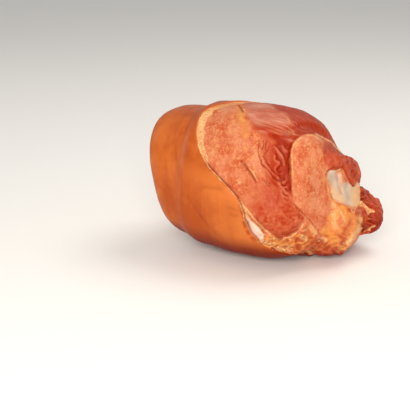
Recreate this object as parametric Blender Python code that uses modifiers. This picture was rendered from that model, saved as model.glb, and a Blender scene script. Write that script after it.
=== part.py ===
"""Smoked pork knuckle: a skin-on shank joint, cut across at the wide end.

The part lies on its rind. +X runs along the shank from its sawn narrow end to the wide end, where the
joint bone shows, +Y points to the far side, and +Z is up. Sizes are in millimetres until a mesh is
finished, and metres after that. Two pieces: the meat with its rind, and the bone that runs through it.
"""

import math

import bpy
import numpy as np

MM = 0.001

# Driving sizes. MIDDLE is the point under the middle of the part, which becomes its origin.
SHANK_LENGTH = 127.0
SHANK_WIDTH = 115.0
SHANK_HEIGHT = 129.0
AXIS_Y = 6.0
AXIS_Z = 65.3
RIND_STEP = 1.4
BONE_GAP = 0.4
BONE_COVER = 6.0
MIDDLE = np.array([11.3, 8.7, 0.0])
MEAT_TRIANGLES = 7000
BONE_TRIANGLES = 1000

# The cut face looks 30 degrees to the near right and 20 degrees up. Marks on it are placed by
# (across, up) in millimetres from the point FACE_CENTRE.
FACE_TURN = math.radians(30)
FACE_TILT = math.radians(20)
FACE_CENTRE = np.array([0.0, 0.0, 65.0])
FACE_ACROSS = np.array([math.cos(FACE_TURN), math.sin(FACE_TURN), 0.0])
FACE_OUT = np.array(
    [
        math.sin(FACE_TURN) * math.cos(FACE_TILT),
        -math.cos(FACE_TURN) * math.cos(FACE_TILT),
        math.sin(FACE_TILT),
    ]
)
FACE_UP = np.cross(FACE_OUT, FACE_ACROSS)

# Muscle masses as rounded blocks: centre, half sizes, (slope of the ends, turn in degrees, taper), and
# (squareness along X, squareness across)
SHANK = ((8, AXIS_Y, AXIS_Z), (SHANK_LENGTH / 2, SHANK_WIDTH / 2, SHANK_HEIGHT / 2), (0, 0, 0), (2.8, 2.35))
COLLAR = ((-23.5, AXIS_Y, 65), (27, 56.5, 62), (0, 0, 0), (4.2, 2.25))
SLEEVE = ((-45, 4, 65), (27, 50, 55), (0.23, -8, 0.03), (4.9, 2.5))
END_SLAB = ((52.5, -13, 60.5), (16, 24, 47.5), (0, -35, 0), (3.0, 2.6))
HEEL = ((61, 25, 34.5), (32.5, 32, 34.5), (0, 0, 0), (2.4, 2.4))
JOINT = ((61.5, 21, 67), (27, 26, 22), (0.08, 0, 0), (3.1, 2.6))
FAR_LUMP = ((85, 53, 32), (20, 14.5, 18), (0, -20, 0), (2.3, 2.2))
FAR_ROOT = ((70, 57, 34), (20, 13, 20), (0, 0, 0), (2.3, 2.2))
FOLD_HIGH = ((73, 3, 90), (9, 10, 9), (0, 30, 0), (2.4, 2.4))
FOLD_LOW = ((80, 11, 80), (7, 6, 12), (0, 0, 0), (2.3, 2.3))

# The bone: a shaft along the shank and a two-knobbed head at the wide end
SHAFT = ((-4, 6, 67), (64, 13, 13.5), (0, 0, 0), (4.0, 2.2))
SAWN_END = ((-60, 5, 67), (18, 16, 15), (0, 0, 0), (3.0, 2.2))
HEAD_NEAR = ((68, 13, 62), (26, 20, 24), (0, 12, 0), (2.6, 2.4))
HEAD_FAR = ((62, 34, 56), (18, 16, 20), (0, 0, 0), (2.3, 2.3))

# Where the rind ends: turn round the shank in degrees from its top, + to the near side, and X there
RIND_EDGE = (
    (-180, 57), (-150, 54), (-120, 46), (-90, 33), (-60, 14), (-30, -8), (0, -27), (20, -37),
    (47, -30), (64, -18), (75, -4), (90, 15), (98, 20), (109, 22), (125, 34), (156, 50), (180, 57),
)

# Marks on the cut face, as (across, up)
STEP = ((30, -22), (28.5, -8), (28, 5), (28, 18), (30, 26), (36, 32), (44, 35), (52, 34), (60, 29), (66, 21))
ARCH_VALLEY = ((24, 32), (33, 38), (44, 41), (55, 39), (66, 30))
ROUND_MUSCLE_EDGE = ((-7, -29), (1, -37), (9, -44), (19, -49), (28, -47), (37, -41), (41, -34))
LONG_SEAM = ((28, -18), (34, -25), (42, -32), (52, -42), (60, -52))
KNIFE_SLIT = ((-11, 13), (-6, 7), (-1, 0), (2, -6))
TOP_SLIT = ((-10, 64), (-8, 59), (-6, 53))
FAT_POCKET = ((-4, -31), (-3, -39), (2, -46), (9, -52))
PLATE_EDGE = ((88, -30), (87, -38), (84, -50), (79, -58))
MEMBRANE_FOLD = ((4, 27), (4.5, 18), (7, 8), (12, 0), (19, -6))
LUMP_FOLDS = (((93, -20), (100, -27), (105, -36), (106, -46)), ((88, -36), (96, -40), (101, -50)))
BONE_WINDOW = ((62, 7), (66, 8), (72, 5), (77, -3), (82, -8), (90, -8), (91, -24), (87, -28), (78, -23), (68, -16), (63, -8))

# Seams of the far side of the wide end, as (X, Z)
FAR_SEAM_HIGH = ((26, 118), (42, 104), (56, 88), (66, 70))
FAR_SEAM_LOW = ((38, 84), (48, 70), (54, 58), (56, 46))


def clear_scene():
    for obj in list(bpy.data.objects):
        bpy.data.objects.remove(obj, do_unlink=True)


# ---- small shape functions --------------------------------------------------------------------


def ramp(value, start, end):
    """0 at start, 1 at end, with soft ends."""
    part = np.clip((value - start) / (end - start), 0, 1)
    return part * part * (3 - 2 * part)


def blend(a, b, softness):
    """The union of two solids' distances, with a fillet."""
    mix = np.clip(0.5 + 0.5 * (b - a) / softness, 0, 1)
    return b * (1 - mix) + a * mix - softness * mix * (1 - mix)


def to_block(points, block):
    """Points along the block's own axes, in half sizes."""
    centre, half, (slope, turn, taper), _ = block
    x, y, z = (points - np.array(centre, float)).T
    turn = math.radians(turn)
    x, y = math.cos(turn) * x + math.sin(turn) * y, math.cos(turn) * y - math.sin(turn) * x
    x = (x + slope * z) / half[0]
    width = 1 + taper * np.clip(x, -1, 1)
    return np.stack([x, y / (half[1] * width), z / (half[2] * width)], axis=1)


def from_block(parts, block):
    """The way back from to_block."""
    centre, half, (slope, turn, taper), _ = block
    x, y, z = parts.T
    width = 1 + taper * np.clip(x, -1, 1)
    y, z = y * half[1] * width, z * half[2] * width
    x = x * half[0] - slope * z
    turn = math.radians(turn)
    x, y = math.cos(turn) * x - math.sin(turn) * y, math.cos(turn) * y + math.sin(turn) * x
    return np.stack([x, y, z], axis=1) + np.array(centre, float)


def levels(parts, block):
    """1 on the rounded block's surface and less inside it: across the block, and in all."""
    along, across = block[3]
    x, y, z = np.abs(parts).T
    ring = (y**across + z**across) ** (1 / across) + 1e-9
    return ring, (ring**along + x**along) ** (1 / along) + 1e-9


def mass(points, block):
    """About how far each point is outside the rounded block."""
    along, across = block[3]
    parts = to_block(points, block)
    ring, level = levels(parts, block)
    x, y, z = np.abs(parts).T
    outward = (ring / level) ** (along - 1)
    slope_x = (x / level) ** (along - 1) / block[1][0]
    slope_y = outward * (y / ring) ** (across - 1) / block[1][1]
    slope_z = outward * (z / ring) ** (across - 1) / block[1][2]
    return (level - 1) / (np.sqrt(slope_x**2 + slope_y**2 + slope_z**2) + 1e-6)


def smooth_line(points, steps=4):
    """A Catmull-Rom line through the points."""
    p = np.array(points, float)
    p = np.vstack([2 * p[0] - p[1], p, 2 * p[-1] - p[-2]])
    line = []
    for a, b, c, d in zip(p, p[1:], p[2:], p[3:]):
        for u in np.arange(steps) / steps:
            line.append(0.5 * (2 * b + (c - a) * u + (2 * a - 5 * b + 4 * c - d) * u**2 + (3 * b - a - 3 * c + d) * u**3))
    return np.array(line + [p[-2]])


def beside(x, y, points):
    """Distance to a smooth line, + on its left, and the part of the way along it."""
    line = smooth_line(points)
    nearest = np.full(x.shape, 1e9)
    side = np.ones(x.shape)
    way = np.zeros(x.shape)
    for i, (a, b) in enumerate(zip(line, line[1:])):
        run = b - a
        along = np.clip(((x - a[0]) * run[0] + (y - a[1]) * run[1]) / (run @ run), 0, 1)
        dx = x - a[0] - along * run[0]
        dy = y - a[1] - along * run[1]
        gap = np.hypot(dx, dy)
        closer = gap < nearest
        nearest = np.where(closer, gap, nearest)
        side = np.where(closer, np.where(run[0] * dy >= run[1] * dx, 1, -1), side)
        way = np.where(closer, (i + along) / (len(line) - 1), way)
    return nearest * side, way


def stroke(x, y, points, width, height, fade=0.12):
    """A soft ridge, or a groove where the height is negative, that fades out at both ends."""
    gap, way = beside(x, y, points)
    return height * np.exp(-((gap / width) ** 2)) * ramp(way, 0, fade) * ramp(way, 1, 1 - fade)


def inside(x, y, outline):
    """Distance in from a closed outline, negative outside it."""
    corners = np.array(outline, float)
    nearest = np.full(x.shape, 1e9)
    within = np.zeros(x.shape, bool)
    for a, b in zip(corners, np.roll(corners, -1, axis=0)):
        run = b - a
        along = np.clip(((x - a[0]) * run[0] + (y - a[1]) * run[1]) / (run @ run), 0, 1)
        nearest = np.minimum(nearest, np.hypot(x - a[0] - along * run[0], y - a[1] - along * run[1]))
        if a[1] != b[1]:
            crosses = (a[1] > y) != (b[1] > y)
            within ^= crosses & (x < run[0] * (y - a[1]) / run[1] + a[0])
    return np.where(within, nearest, -nearest)


# ---- the meat ---------------------------------------------------------------------------------


def on_face(points):
    """(across, up, out) of the cut face."""
    from_centre = points - FACE_CENTRE
    return from_centre @ FACE_ACROSS, from_centre @ FACE_UP, from_centre @ FACE_OUT


def past_rind(points):
    """How far past the rind's edge a point is, towards the wide end, and its turn round the shank."""
    turn = np.degrees(np.arctan2(AXIS_Y - points[:, 1], points[:, 2] - AXIS_Z))
    line = smooth_line(RIND_EDGE)
    edge_x = np.interp(turn, line[:, 0], line[:, 1])
    rise = np.interp(turn, line[:-1, 0], np.diff(line[:, 1]) / np.maximum(np.diff(line[:, 0]), 1e-6))
    slant = rise / math.radians(SHANK_WIDTH / 2)
    return (points[:, 0] - edge_x) / np.sqrt(1 + slant**2), turn


def masses(points):
    """The smooth muscle masses under every mark."""
    end = blend(mass(points, HEEL), mass(points, JOINT), 8)
    form = blend(mass(points, SHANK), end, 14)
    form = blend(form, mass(points, END_SLAB), 6)
    form = blend(form, mass(points, COLLAR), 3)
    form = blend(mass(points, SLEEVE), form, 3)
    lump = blend(mass(points, FAR_LUMP), mass(points, FAR_ROOT), 5)
    form = blend(form, lump, 3)
    folds = blend(mass(points, FOLD_HIGH), mass(points, FOLD_LOW), 4)
    return blend(form, folds, 2)


def window(points):
    """1 where the joint bone shows through the wide end, or the sawn one through the narrow end."""
    across, up, out = on_face(points)
    near_window = ramp(inside(across, up, BONE_WINDOW), -0.5, 1.5) * ramp(out, -5, 12)
    narrow = ramp(points[:, 0], -40, -50)
    return np.maximum(near_window, narrow)


def relief(points):
    """How far the surface stands out from the masses: rind, seams, slits, hollow and steps."""
    across, up, out = on_face(points)
    face = ramp(out, -5, 12)
    past, turn = past_rind(points)
    rind = RIND_STEP * ramp(-past, -0.6, 1.2)
    shadow_gap = -1.0 * np.exp(-(((past - 1.6) / 1.6) ** 2)) * ramp(turn, 40, 60) * ramp(turn, 130, 110)

    lean_x = math.cos(0.25) * (across - 22) + math.sin(0.25) * (up - 9)
    lean_y = math.cos(0.25) * (up - 9) - math.sin(0.25) * (across - 22)
    bowl = np.exp(-(np.abs(lean_x / 14) ** 2.4) - np.abs(lean_y / 24) ** 2.4)
    gap, way = beside(across, up, STEP)
    right_of_step = ramp(-gap, -0.5, 1.1) * ramp(np.abs(gap), 60, 45)
    marks = -10.0 * bowl * (1 - right_of_step)
    marks += 1.6 * right_of_step * ramp(way, 0, 0.08) * ramp(np.abs(gap), 26, 8)
    marks += stroke(across, up, ARCH_VALLEY, 3.5, -3.0)
    marks += 2.6 * np.exp(-(((across - 13) / 19) ** 2) - ((up + 31) / 12) ** 2)
    marks += stroke(across, up, ROUND_MUSCLE_EDGE, 2.4, -3.0, 0.25)
    marks += stroke(across, up, LONG_SEAM, 1.8, -2.6, 0.2)
    marks += stroke(across, up, KNIFE_SLIT, 1.6, -2.4, 0.2)
    marks += stroke(across, up, TOP_SLIT, 1.6, -2.2, 0.2)
    marks += stroke(across, up, FAT_POCKET, 4.0, -3.0, 0.25)
    marks += stroke(across, up, PLATE_EDGE, 2.6, 1.8)
    for fold in range(2):
        shifted = [(x + 5.0 * fold, y - 1.5 * fold) for x, y in MEMBRANE_FOLD]
        marks += stroke(across, up, shifted, 1.5, -1.6, 0.2)
    for fold in LUMP_FOLDS:
        marks += stroke(across, up, fold, 1.6, -1.8, 0.2)
    crags = np.sin(0.6 * across + 1.7 * np.sin(0.4 * up)) * np.sin(0.75 * up + 1.3 * np.sin(0.35 * across))
    marks += 1.2 * crags * ramp(up, -44, -50) * ramp(past, 1, 5) * ramp(across, 88, 78)

    far = ramp(points[:, 1], 15, 35)
    x, z = points[:, 0], points[:, 2]
    far_marks = stroke(x, z, FAR_SEAM_HIGH, 2.6, -2.6) + stroke(x, z, FAR_SEAM_LOW, 2.6, -2.6)

    reach = (np.abs(points[:, 1] - 4) / 41) ** 2.5 + (np.abs(z - 65) / 46) ** 2.5
    narrow_cut = -2.6 * ramp(reach, 1.0, 0.88) * ramp(x, -45, -52)
    open_bone = -3.0 * window(points) * ramp(x, -20, 0)
    return rind + shadow_gap + marks * face + far_marks * far + narrow_cut + open_bone


def meat(points):
    return masses(points) - relief(points)


# ---- the bone ---------------------------------------------------------------------------------


def bone(points):
    """Shaft and head, kept under the meat's surface but for the places where the bone shows."""
    shaft = blend(mass(points, SHAFT), mass(points, SAWN_END), 10)
    head = blend(mass(points, HEAD_NEAR), mass(points, HEAD_FAR), 6)
    form = blend(shaft, head, 16)
    cover = 1.0 + (BONE_COVER - 1.0) * (1 - window(points))
    return -blend(-form, -(masses(points) + cover), 1.5)


# ---- meshes -----------------------------------------------------------------------------------


def block_object(block):
    """A UV sphere drawn out to the rounded block."""
    bpy.ops.mesh.primitive_uv_sphere_add(segments=32, ring_count=20, radius=1)
    obj = bpy.context.object
    points = coordinates(obj)
    _, level = levels(points, block)
    set_coordinates(obj, from_block(points / level[:, None], block))
    return obj


def coordinates(obj):
    flat = np.empty(len(obj.data.vertices) * 3)
    obj.data.vertices.foreach_get("co", flat)
    return flat.reshape(-1, 3)


def set_coordinates(obj, points):
    obj.data.vertices.foreach_set("co", points.ravel())
    obj.data.update()


def joined(blocks):
    objects = [block_object(block) for block in blocks]
    with bpy.context.temp_override(active_object=objects[0], selected_editable_objects=objects):
        bpy.ops.object.join()
    return objects[0]


def apply_modifiers(obj):
    graph = bpy.context.evaluated_depsgraph_get()
    mesh = bpy.data.meshes.new_from_object(obj.evaluated_get(graph))
    obj.modifiers.clear()
    obj.data = mesh


def remesh(obj, voxel):
    """One closed skin round everything in the mesh."""
    modifier = obj.modifiers.new("skin", "REMESH")
    modifier.mode = "VOXEL"
    modifier.voxel_size = voxel
    apply_modifiers(obj)


def settle(obj, form, rounds):
    """Moves each vertex straight to the form's surface."""
    step = 0.05
    for _ in range(rounds):
        points = coordinates(obj)
        here = form(points)
        slope = np.stack([form(points + step * axis) - here for axis in np.eye(3)], axis=1) / step
        length = np.maximum(np.linalg.norm(slope, axis=1), 0.3)
        move = np.clip(here / length, -2.5, 2.5)
        set_coordinates(obj, points - slope * (move / length)[:, None])


def thin_out(obj, triangles):
    """Decimates to about this many triangles."""
    obj.data.calc_loop_triangles()
    modifier = obj.modifiers.new("fewer", "DECIMATE")
    modifier.ratio = triangles / len(obj.data.loop_triangles)
    modifier.use_collapse_triangulate = True
    apply_modifiers(obj)


def carved(blocks, form, triangles, voxels=(3.0, 1.8)):
    """Blocks joined to one skin, settled on the form and thinned out."""
    obj = joined(blocks)
    for voxel in voxels:
        remesh(obj, voxel)
        settle(obj, form, 3)
    thin_out(obj, triangles)
    return obj


def cut_with(obj, cutter):
    modifier = obj.modifiers.new("cut", "BOOLEAN")
    modifier.operation = "DIFFERENCE"
    modifier.solver = "EXACT"
    modifier.object = cutter
    apply_modifiers(obj)


def swollen(obj, amount):
    """A copy moved out along its normals."""
    copy = obj.copy()
    copy.data = obj.data.copy()
    bpy.context.scene.collection.objects.link(copy)
    normals = np.array([vertex.normal for vertex in copy.data.vertices])
    set_coordinates(copy, coordinates(copy) + amount * normals)
    return copy


def floor_block():
    """A block whose top is the surface that the meat rests on."""
    bpy.ops.mesh.primitive_cube_add(size=1, location=(0, 0, 0))
    cutter = bpy.context.object
    set_coordinates(cutter, coordinates(cutter) * np.array([400, 400, 40]) - np.array([0, 0, 20]))
    return cutter


def material(name, colour, roughness):
    made = bpy.data.materials.new(name)
    made.use_nodes = True
    shader = made.node_tree.nodes["Principled BSDF"]
    shader.inputs["Base Color"].default_value = (*colour, 1)
    shader.inputs["Roughness"].default_value = roughness
    return made


def finish(obj, name, surface, collection):
    """Name, place in metres, smooth shading and the object's own material."""
    set_coordinates(obj, (coordinates(obj) - MIDDLE) * MM)
    obj.name = name
    obj.data.name = name
    obj.data.shade_smooth()
    obj.data.set_sharp_from_angle(angle=math.radians(50))
    obj.data.materials.clear()
    obj.data.materials.append(surface)
    for holder in obj.users_collection:
        holder.objects.unlink(obj)
    collection.objects.link(obj)


def build():
    clear_scene()
    collection = bpy.data.collections.new("pork_knuckle")
    bpy.context.scene.collection.children.link(collection)

    muscles = (SHANK, COLLAR, SLEEVE, END_SLAB, HEEL, JOINT, FAR_LUMP, FAR_ROOT, FOLD_HIGH, FOLD_LOW)
    knuckle = carved(muscles, meat, MEAT_TRIANGLES)
    joint_bone = carved((SHAFT, SAWN_END, HEAD_NEAR, HEAD_FAR), bone, BONE_TRIANGLES)

    cutters = (swollen(joint_bone, BONE_GAP), floor_block())
    for cutter in cutters:
        cut_with(knuckle, cutter)
        bpy.data.objects.remove(cutter, do_unlink=True)

    finish(knuckle, "knuckle", material("smoked_meat", (0.55, 0.14, 0.05), 0.45), collection)
    finish(joint_bone, "bone", material("bone", (0.62, 0.52, 0.38), 0.5), collection)


build()
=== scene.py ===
import itertools
import math
from types import SimpleNamespace

import bmesh
import bpy
import numpy as np
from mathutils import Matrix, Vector


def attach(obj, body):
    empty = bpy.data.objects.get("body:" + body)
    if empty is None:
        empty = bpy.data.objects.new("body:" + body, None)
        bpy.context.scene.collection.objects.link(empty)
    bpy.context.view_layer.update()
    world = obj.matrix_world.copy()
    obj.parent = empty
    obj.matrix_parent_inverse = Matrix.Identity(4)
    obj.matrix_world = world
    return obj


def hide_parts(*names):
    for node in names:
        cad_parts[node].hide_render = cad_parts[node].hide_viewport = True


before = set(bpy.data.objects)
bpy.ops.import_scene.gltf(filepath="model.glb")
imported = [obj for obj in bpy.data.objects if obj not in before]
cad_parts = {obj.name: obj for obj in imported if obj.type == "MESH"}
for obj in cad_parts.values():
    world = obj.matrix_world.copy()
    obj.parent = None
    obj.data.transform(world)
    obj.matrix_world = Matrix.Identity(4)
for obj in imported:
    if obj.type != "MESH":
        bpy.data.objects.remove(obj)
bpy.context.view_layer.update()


# ---- The cured meat in its rind -----------------------------------------------------------------
# A pork shank cut across its wide end, brined and hot smoked with the skin on. The bare meat and the
# rind round it are two closed bodies, carved from the same rounded muscle masses as the solid
# "knuckle", which they stand for. Sizes are in millimetres until a mesh is finished.

MM = 0.001
FORM_MIDDLE = np.array([11.3, 8.7, 0.0])
AXIS_Y = 6.0
AXIS_Z = 65.3
SHANK_RADIUS = 57.5
RIND_STEP = 1.4

# Muscle masses as rounded blocks: centre, half sizes, (slope of the ends, turn in degrees, taper), and
# (squareness along X, squareness across)
SHANK = ((8, AXIS_Y, AXIS_Z), (63.5, SHANK_RADIUS, 64.5), (0, 0, 0), (2.8, 2.35))
COLLAR = ((-23.5, AXIS_Y, 65), (27, 56.5, 62), (0, 0, 0), (4.2, 2.25))
SLEEVE = ((-45, 4, 65), (27, 50, 55), (0.23, -8, 0.03), (4.9, 2.5))
END_SLAB = ((52.5, -13, 60.5), (16, 24, 47.5), (0, -35, 0), (3.0, 2.6))
HEEL = ((61, 25, 34.5), (32.5, 32, 34.5), (0, 0, 0), (2.4, 2.4))
JOINT = ((61.5, 21, 67), (27, 26, 22), (0.08, 0, 0), (3.1, 2.6))
FAR_LUMP = ((85, 53, 32), (20, 14.5, 18), (0, -20, 0), (2.3, 2.2))
FAR_ROOT = ((70, 57, 34), (20, 13, 20), (0, 0, 0), (2.3, 2.2))
FOLD_HIGH = ((73, 3, 90), (9, 10, 9), (0, 30, 0), (2.4, 2.4))
FOLD_LOW = ((80, 11, 80), (7, 6, 12), (0, 0, 0), (2.3, 2.3))
MUSCLES = (SHANK, COLLAR, SLEEVE, END_SLAB, HEEL, JOINT, FAR_LUMP, FAR_ROOT, FOLD_HIGH, FOLD_LOW)

# The cut face looks 30 degrees to the near right and 20 degrees up. Marks on it are placed by
# (across, up) in millimetres from the point FACE_CENTRE.
FACE_TURN = math.radians(30)
FACE_TILT = math.radians(20)
FACE_CENTRE = np.array([0.0, 0.0, 65.0])
TO_RIGHT = np.array([math.cos(FACE_TURN), math.sin(FACE_TURN), 0.0])
TO_NEAR = np.array([math.sin(FACE_TURN), -math.cos(FACE_TURN), 0.0])
FACE_OUT = math.cos(FACE_TILT) * TO_NEAR + math.sin(FACE_TILT) * np.array([0.0, 0.0, 1.0])
FACE_UP = np.cross(FACE_OUT, TO_RIGHT)

# How far out along FACE_OUT the face's marks start, and are in full
FACE_FADE = (-5, 12)

# Where the rind ends: turn round the shank in degrees from its top, + to the near side, and X there
RIND_EDGE = (
    (-180, 57), (-150, 54), (-120, 46), (-90, 33), (-60, 14), (-30, -8), (0, -27), (20, -37),
    (47, -30), (64, -18), (75, -4), (88, 12), (101, 19), (110, 20), (120, 23), (127, 28), (134, 35),
    (141, 42), (150, 51), (165, 56), (180, 57),
)

# How wide the layer of fat under the rind shows at its edge, at the same turns
RIM_WIDTH = (
    (-180, 4), (-140, 6), (-100, 5), (-60, 6), (-30, 8), (0, 10), (20, 8.5), (36, 6.4), (48, 5.4), (57, 5),
    (62, 3), (66, 0.4), (90, 0.4), (99, 4), (116, 6), (128, 4), (140, 3), (160, 3), (180, 4),
)

# Marks on the cut face, as (across, up)
STEP = (
    (30, -22), (28, -8), (27.3, 5), (27.2, 18), (29.5, 26), (36, 32), (44, 35), (52, 34), (60, 29), (66, 21),
)
ARCH_VALLEY = ((24, 32), (33, 38), (44, 41), (55, 39), (66, 30))
ROUND_MUSCLE_EDGE = ((-7, -29), (1, -37), (9, -44), (19, -49), (28, -47), (37, -41), (41, -34))
LONG_SEAM = ((28, -18), (34, -25), (42, -32), (52, -42), (60, -52))
KNIFE_SLIT = ((-13, 16), (-7, 8), (-2, 1), (2, -7))
TOP_SLIT = ((-10, 64), (-8, 59), (-6, 53))
FAT_POCKET = ((-4, -31), (-3, -39), (2, -46), (9, -52))
PLATE_EDGE = ((88, -30), (87, -38), (84, -50), (79, -58))
MEMBRANE_FOLDS = (
    ((4, 27), (4.5, 18), (7, 8), (12, 0), (19, -6)),
    ((9, 25.5), (9.5, 16.5), (12, 6.5), (17, -1.5), (24, -7.5)),
)
LUMP_FOLDS = (((93, -20), (100, -27), (105, -36), (106, -46)), ((88, -36), (96, -40), (101, -50)))
BONE_WINDOW = (
    (59, 2), (62, 7), (66, 9), (72, 8), (77, 2), (83, -5), (91, -4), (99, -4), (99, -22), (91, -28),
    (84, -27), (75, -23.5), (69, -21), (64.5, -18), (62.5, -12), (61.5, -6), (60, -2),
)

# The deep hollow between the muscles leans a little, and a round muscle stands out below it.
HOLLOW_MIDDLE = (22, 9)
HOLLOW_HALF = (14, 24)
HOLLOW_LEAN = 0.25
HOLLOW_DEPTH = 7.5
ROUND_MIDDLE = (13, -31)
ROUND_HALF = (19, 12)
ROUND_RISE = 2.6

# The narrow end's saw cut, as (Y, Z)
NARROW_MIDDLE = (4, 65)
NARROW_HALF = (41, 46)

# Ridges and grooves of the cut face: lines, width, height, and the part that fades out at each end
FACE_MARKS = (
    ((ARCH_VALLEY,), 3.5, -3.0, 0.12),
    ((ROUND_MUSCLE_EDGE,), 2.4, -3.0, 0.25),
    ((LONG_SEAM,), 1.5, -1.0, 0.2),
    ((KNIFE_SLIT, TOP_SLIT), 1.3, -1.9, 0.3),
    ((FAT_POCKET,), 4.0, -3.0, 0.25),
    ((PLATE_EDGE,), 2.6, 1.8, 0.12),
    (MEMBRANE_FOLDS, 1.1, -0.4, 0.2),
    (LUMP_FOLDS, 1.6, -1.8, 0.2),
)

# Seams of the far side of the wide end, as (X, Z)
FAR_SEAM_HIGH = ((26, 118), (42, 104), (56, 88), (66, 70))
FAR_SEAM_LOW = ((38, 84), (48, 70), (54, 58), (56, 46))


def ramp(value, start, end):
    """0 at start, 1 at end, with soft ends."""
    part = np.clip((value - start) / (end - start), 0, 1)
    return part * part * (3 - 2 * part)


def hump(value, middle, width):
    """1 at the middle, falling away to both sides."""
    return np.exp(-(((value - middle) / width) ** 2))


def blend(a, b, softness):
    """The union of two solids' distances, with a fillet."""
    mix = np.clip(0.5 + 0.5 * (b - a) / softness, 0, 1)
    return b * (1 - mix) + a * mix - softness * mix * (1 - mix)


def to_block(points, block):
    """Points along the block's own axes, in half sizes."""
    centre, half, (slope, turn, taper), _ = block
    x, y, z = (points - np.array(centre, float)).T
    turn = math.radians(turn)
    x, y = math.cos(turn) * x + math.sin(turn) * y, math.cos(turn) * y - math.sin(turn) * x
    x = (x + slope * z) / half[0]
    width = 1 + taper * np.clip(x, -1, 1)
    return np.stack([x, y / (half[1] * width), z / (half[2] * width)], axis=1)


def from_block(parts, block):
    """The way back from to_block."""
    centre, half, (slope, turn, taper), _ = block
    x, y, z = parts.T
    width = 1 + taper * np.clip(x, -1, 1)
    y, z = y * half[1] * width, z * half[2] * width
    x = x * half[0] - slope * z
    turn = math.radians(turn)
    x, y = math.cos(turn) * x - math.sin(turn) * y, math.cos(turn) * y + math.sin(turn) * x
    return np.stack([x, y, z], axis=1) + np.array(centre, float)


def levels(parts, block):
    """1 on the rounded block's surface and less inside it: across the block, and in all."""
    along, across = block[3]
    x, y, z = np.abs(parts).T
    ring = (y**across + z**across) ** (1 / across) + 1e-9
    return ring, (ring**along + x**along) ** (1 / along) + 1e-9


def mass(points, block):
    """About how far each point is outside the rounded block."""
    along, across = block[3]
    parts = to_block(points, block)
    ring, level = levels(parts, block)
    x, y, z = np.abs(parts).T
    outward = (ring / level) ** (along - 1)
    slope_x = (x / level) ** (along - 1) / block[1][0]
    slope_y = outward * (y / ring) ** (across - 1) / block[1][1]
    slope_z = outward * (z / ring) ** (across - 1) / block[1][2]
    return (level - 1) / (np.sqrt(slope_x**2 + slope_y**2 + slope_z**2) + 1e-6)


def smooth_line(points, steps=4):
    """A Catmull-Rom line through the points."""
    p = np.array(points, float)
    p = np.vstack([2 * p[0] - p[1], p, 2 * p[-1] - p[-2]])
    line = []
    for a, b, c, d in zip(p, p[1:], p[2:], p[3:]):
        for u in np.arange(steps) / steps:
            bends = (2 * a - 5 * b + 4 * c - d) * u**2 + (3 * b - a - 3 * c + d) * u**3
            line.append(0.5 * (2 * b + (c - a) * u + bends))
    return np.array(line + [p[-2]])


def to_segment(x, y, a, b):
    """The part of the way from a to b that is nearest to each place, and how far off the place is."""
    run = b - a
    along = np.clip(((x - a[0]) * run[0] + (y - a[1]) * run[1]) / (run @ run), 0, 1)
    return along, x - a[0] - along * run[0], y - a[1] - along * run[1]


def beside(x, y, points):
    """Distance to a smooth line, + on its left, and the part of the way along it."""
    line = smooth_line(points)
    nearest = np.full(x.shape, 1e9)
    side = np.ones(x.shape)
    way = np.zeros(x.shape)
    for i, (a, b) in enumerate(zip(line, line[1:])):
        along, dx, dy = to_segment(x, y, a, b)
        gap = np.hypot(dx, dy)
        closer = gap < nearest
        nearest = np.where(closer, gap, nearest)
        side = np.where(closer, np.where((b - a)[0] * dy >= (b - a)[1] * dx, 1, -1), side)
        way = np.where(closer, (i + along) / (len(line) - 1), way)
    return nearest * side, way


def stroke(x, y, points, width, height, fade=0.12, lip=0.0):
    """A soft ridge, or a groove where the height is negative, that fades out at both ends. A lip is a
    share of the height that stands the other way, on the line's right."""
    ends = np.array(points, float)
    low = ends.min(axis=0) - 4 * width
    high = ends.max(axis=0) + 4 * width
    near = (x > low[0]) & (x < high[0]) & (y > low[1]) & (y < high[1])
    gap, way = beside(x[near], y[near], points)
    profile = hump(gap, 0, width) - lip * hump(gap / width, -2.1, 1.3)
    raised = np.zeros(x.shape)
    raised[near] = height * profile * ramp(way, 0, fade) * ramp(way, 1, 1 - fade)
    return raised


def strokes(x, y, lines, width, height, fade=0.15, lip=0.0):
    return sum(stroke(x, y, line, width, height, fade, lip) for line in lines)


def shifted(line, x, y):
    return [(a + x, b + y) for a, b in line]


def inside(x, y, outline):
    """Distance in from a closed outline, negative outside it."""
    corners = np.array(outline, float)
    nearest = np.full(x.shape, 1e9)
    within = np.zeros(x.shape, bool)
    for a, b in zip(corners, np.roll(corners, -1, axis=0)):
        _, dx, dy = to_segment(x, y, a, b)
        nearest = np.minimum(nearest, np.hypot(dx, dy))
        if a[1] != b[1]:
            crosses = (a[1] > y) != (b[1] > y)
            within ^= crosses & (x < (b - a)[0] * (y - a[1]) / (b - a)[1] + a[0])
    return np.where(within, nearest, -nearest)


def swell(points, size, seed=0):
    """Smooth random heights from -1 to 1, each swell about this many millimetres wide."""
    cells = points / size + 7.7 * seed
    low = np.floor(cells)
    soft = (cells - low) ** 2 * (3 - 2 * (cells - low))
    height = np.zeros(len(points))
    for corner in itertools.product((0, 1), repeat=3):
        drawn = np.sin((low + corner) @ np.array([127.1, 311.7, 74.7])) * 43758.5453
        share = np.prod(np.where(corner, soft, 1 - soft), axis=1)
        height += share * (2 * (drawn - np.floor(drawn)) - 1)
    return height


def swells(points, *layers):
    """Random heights laid over one another, each as (height, size, seed)."""
    return sum(height * swell(points, size, seed) for height, size, seed in layers)


def patchy(points, size, seed, start, end):
    """Random patches from 0 to 1."""
    return ramp(swell(points, size, seed), start, end)


def on_face(points):
    """(across, up, out) of the cut face."""
    from_centre = points - FACE_CENTRE
    return from_centre @ TO_RIGHT, from_centre @ FACE_UP, from_centre @ FACE_OUT


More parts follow.
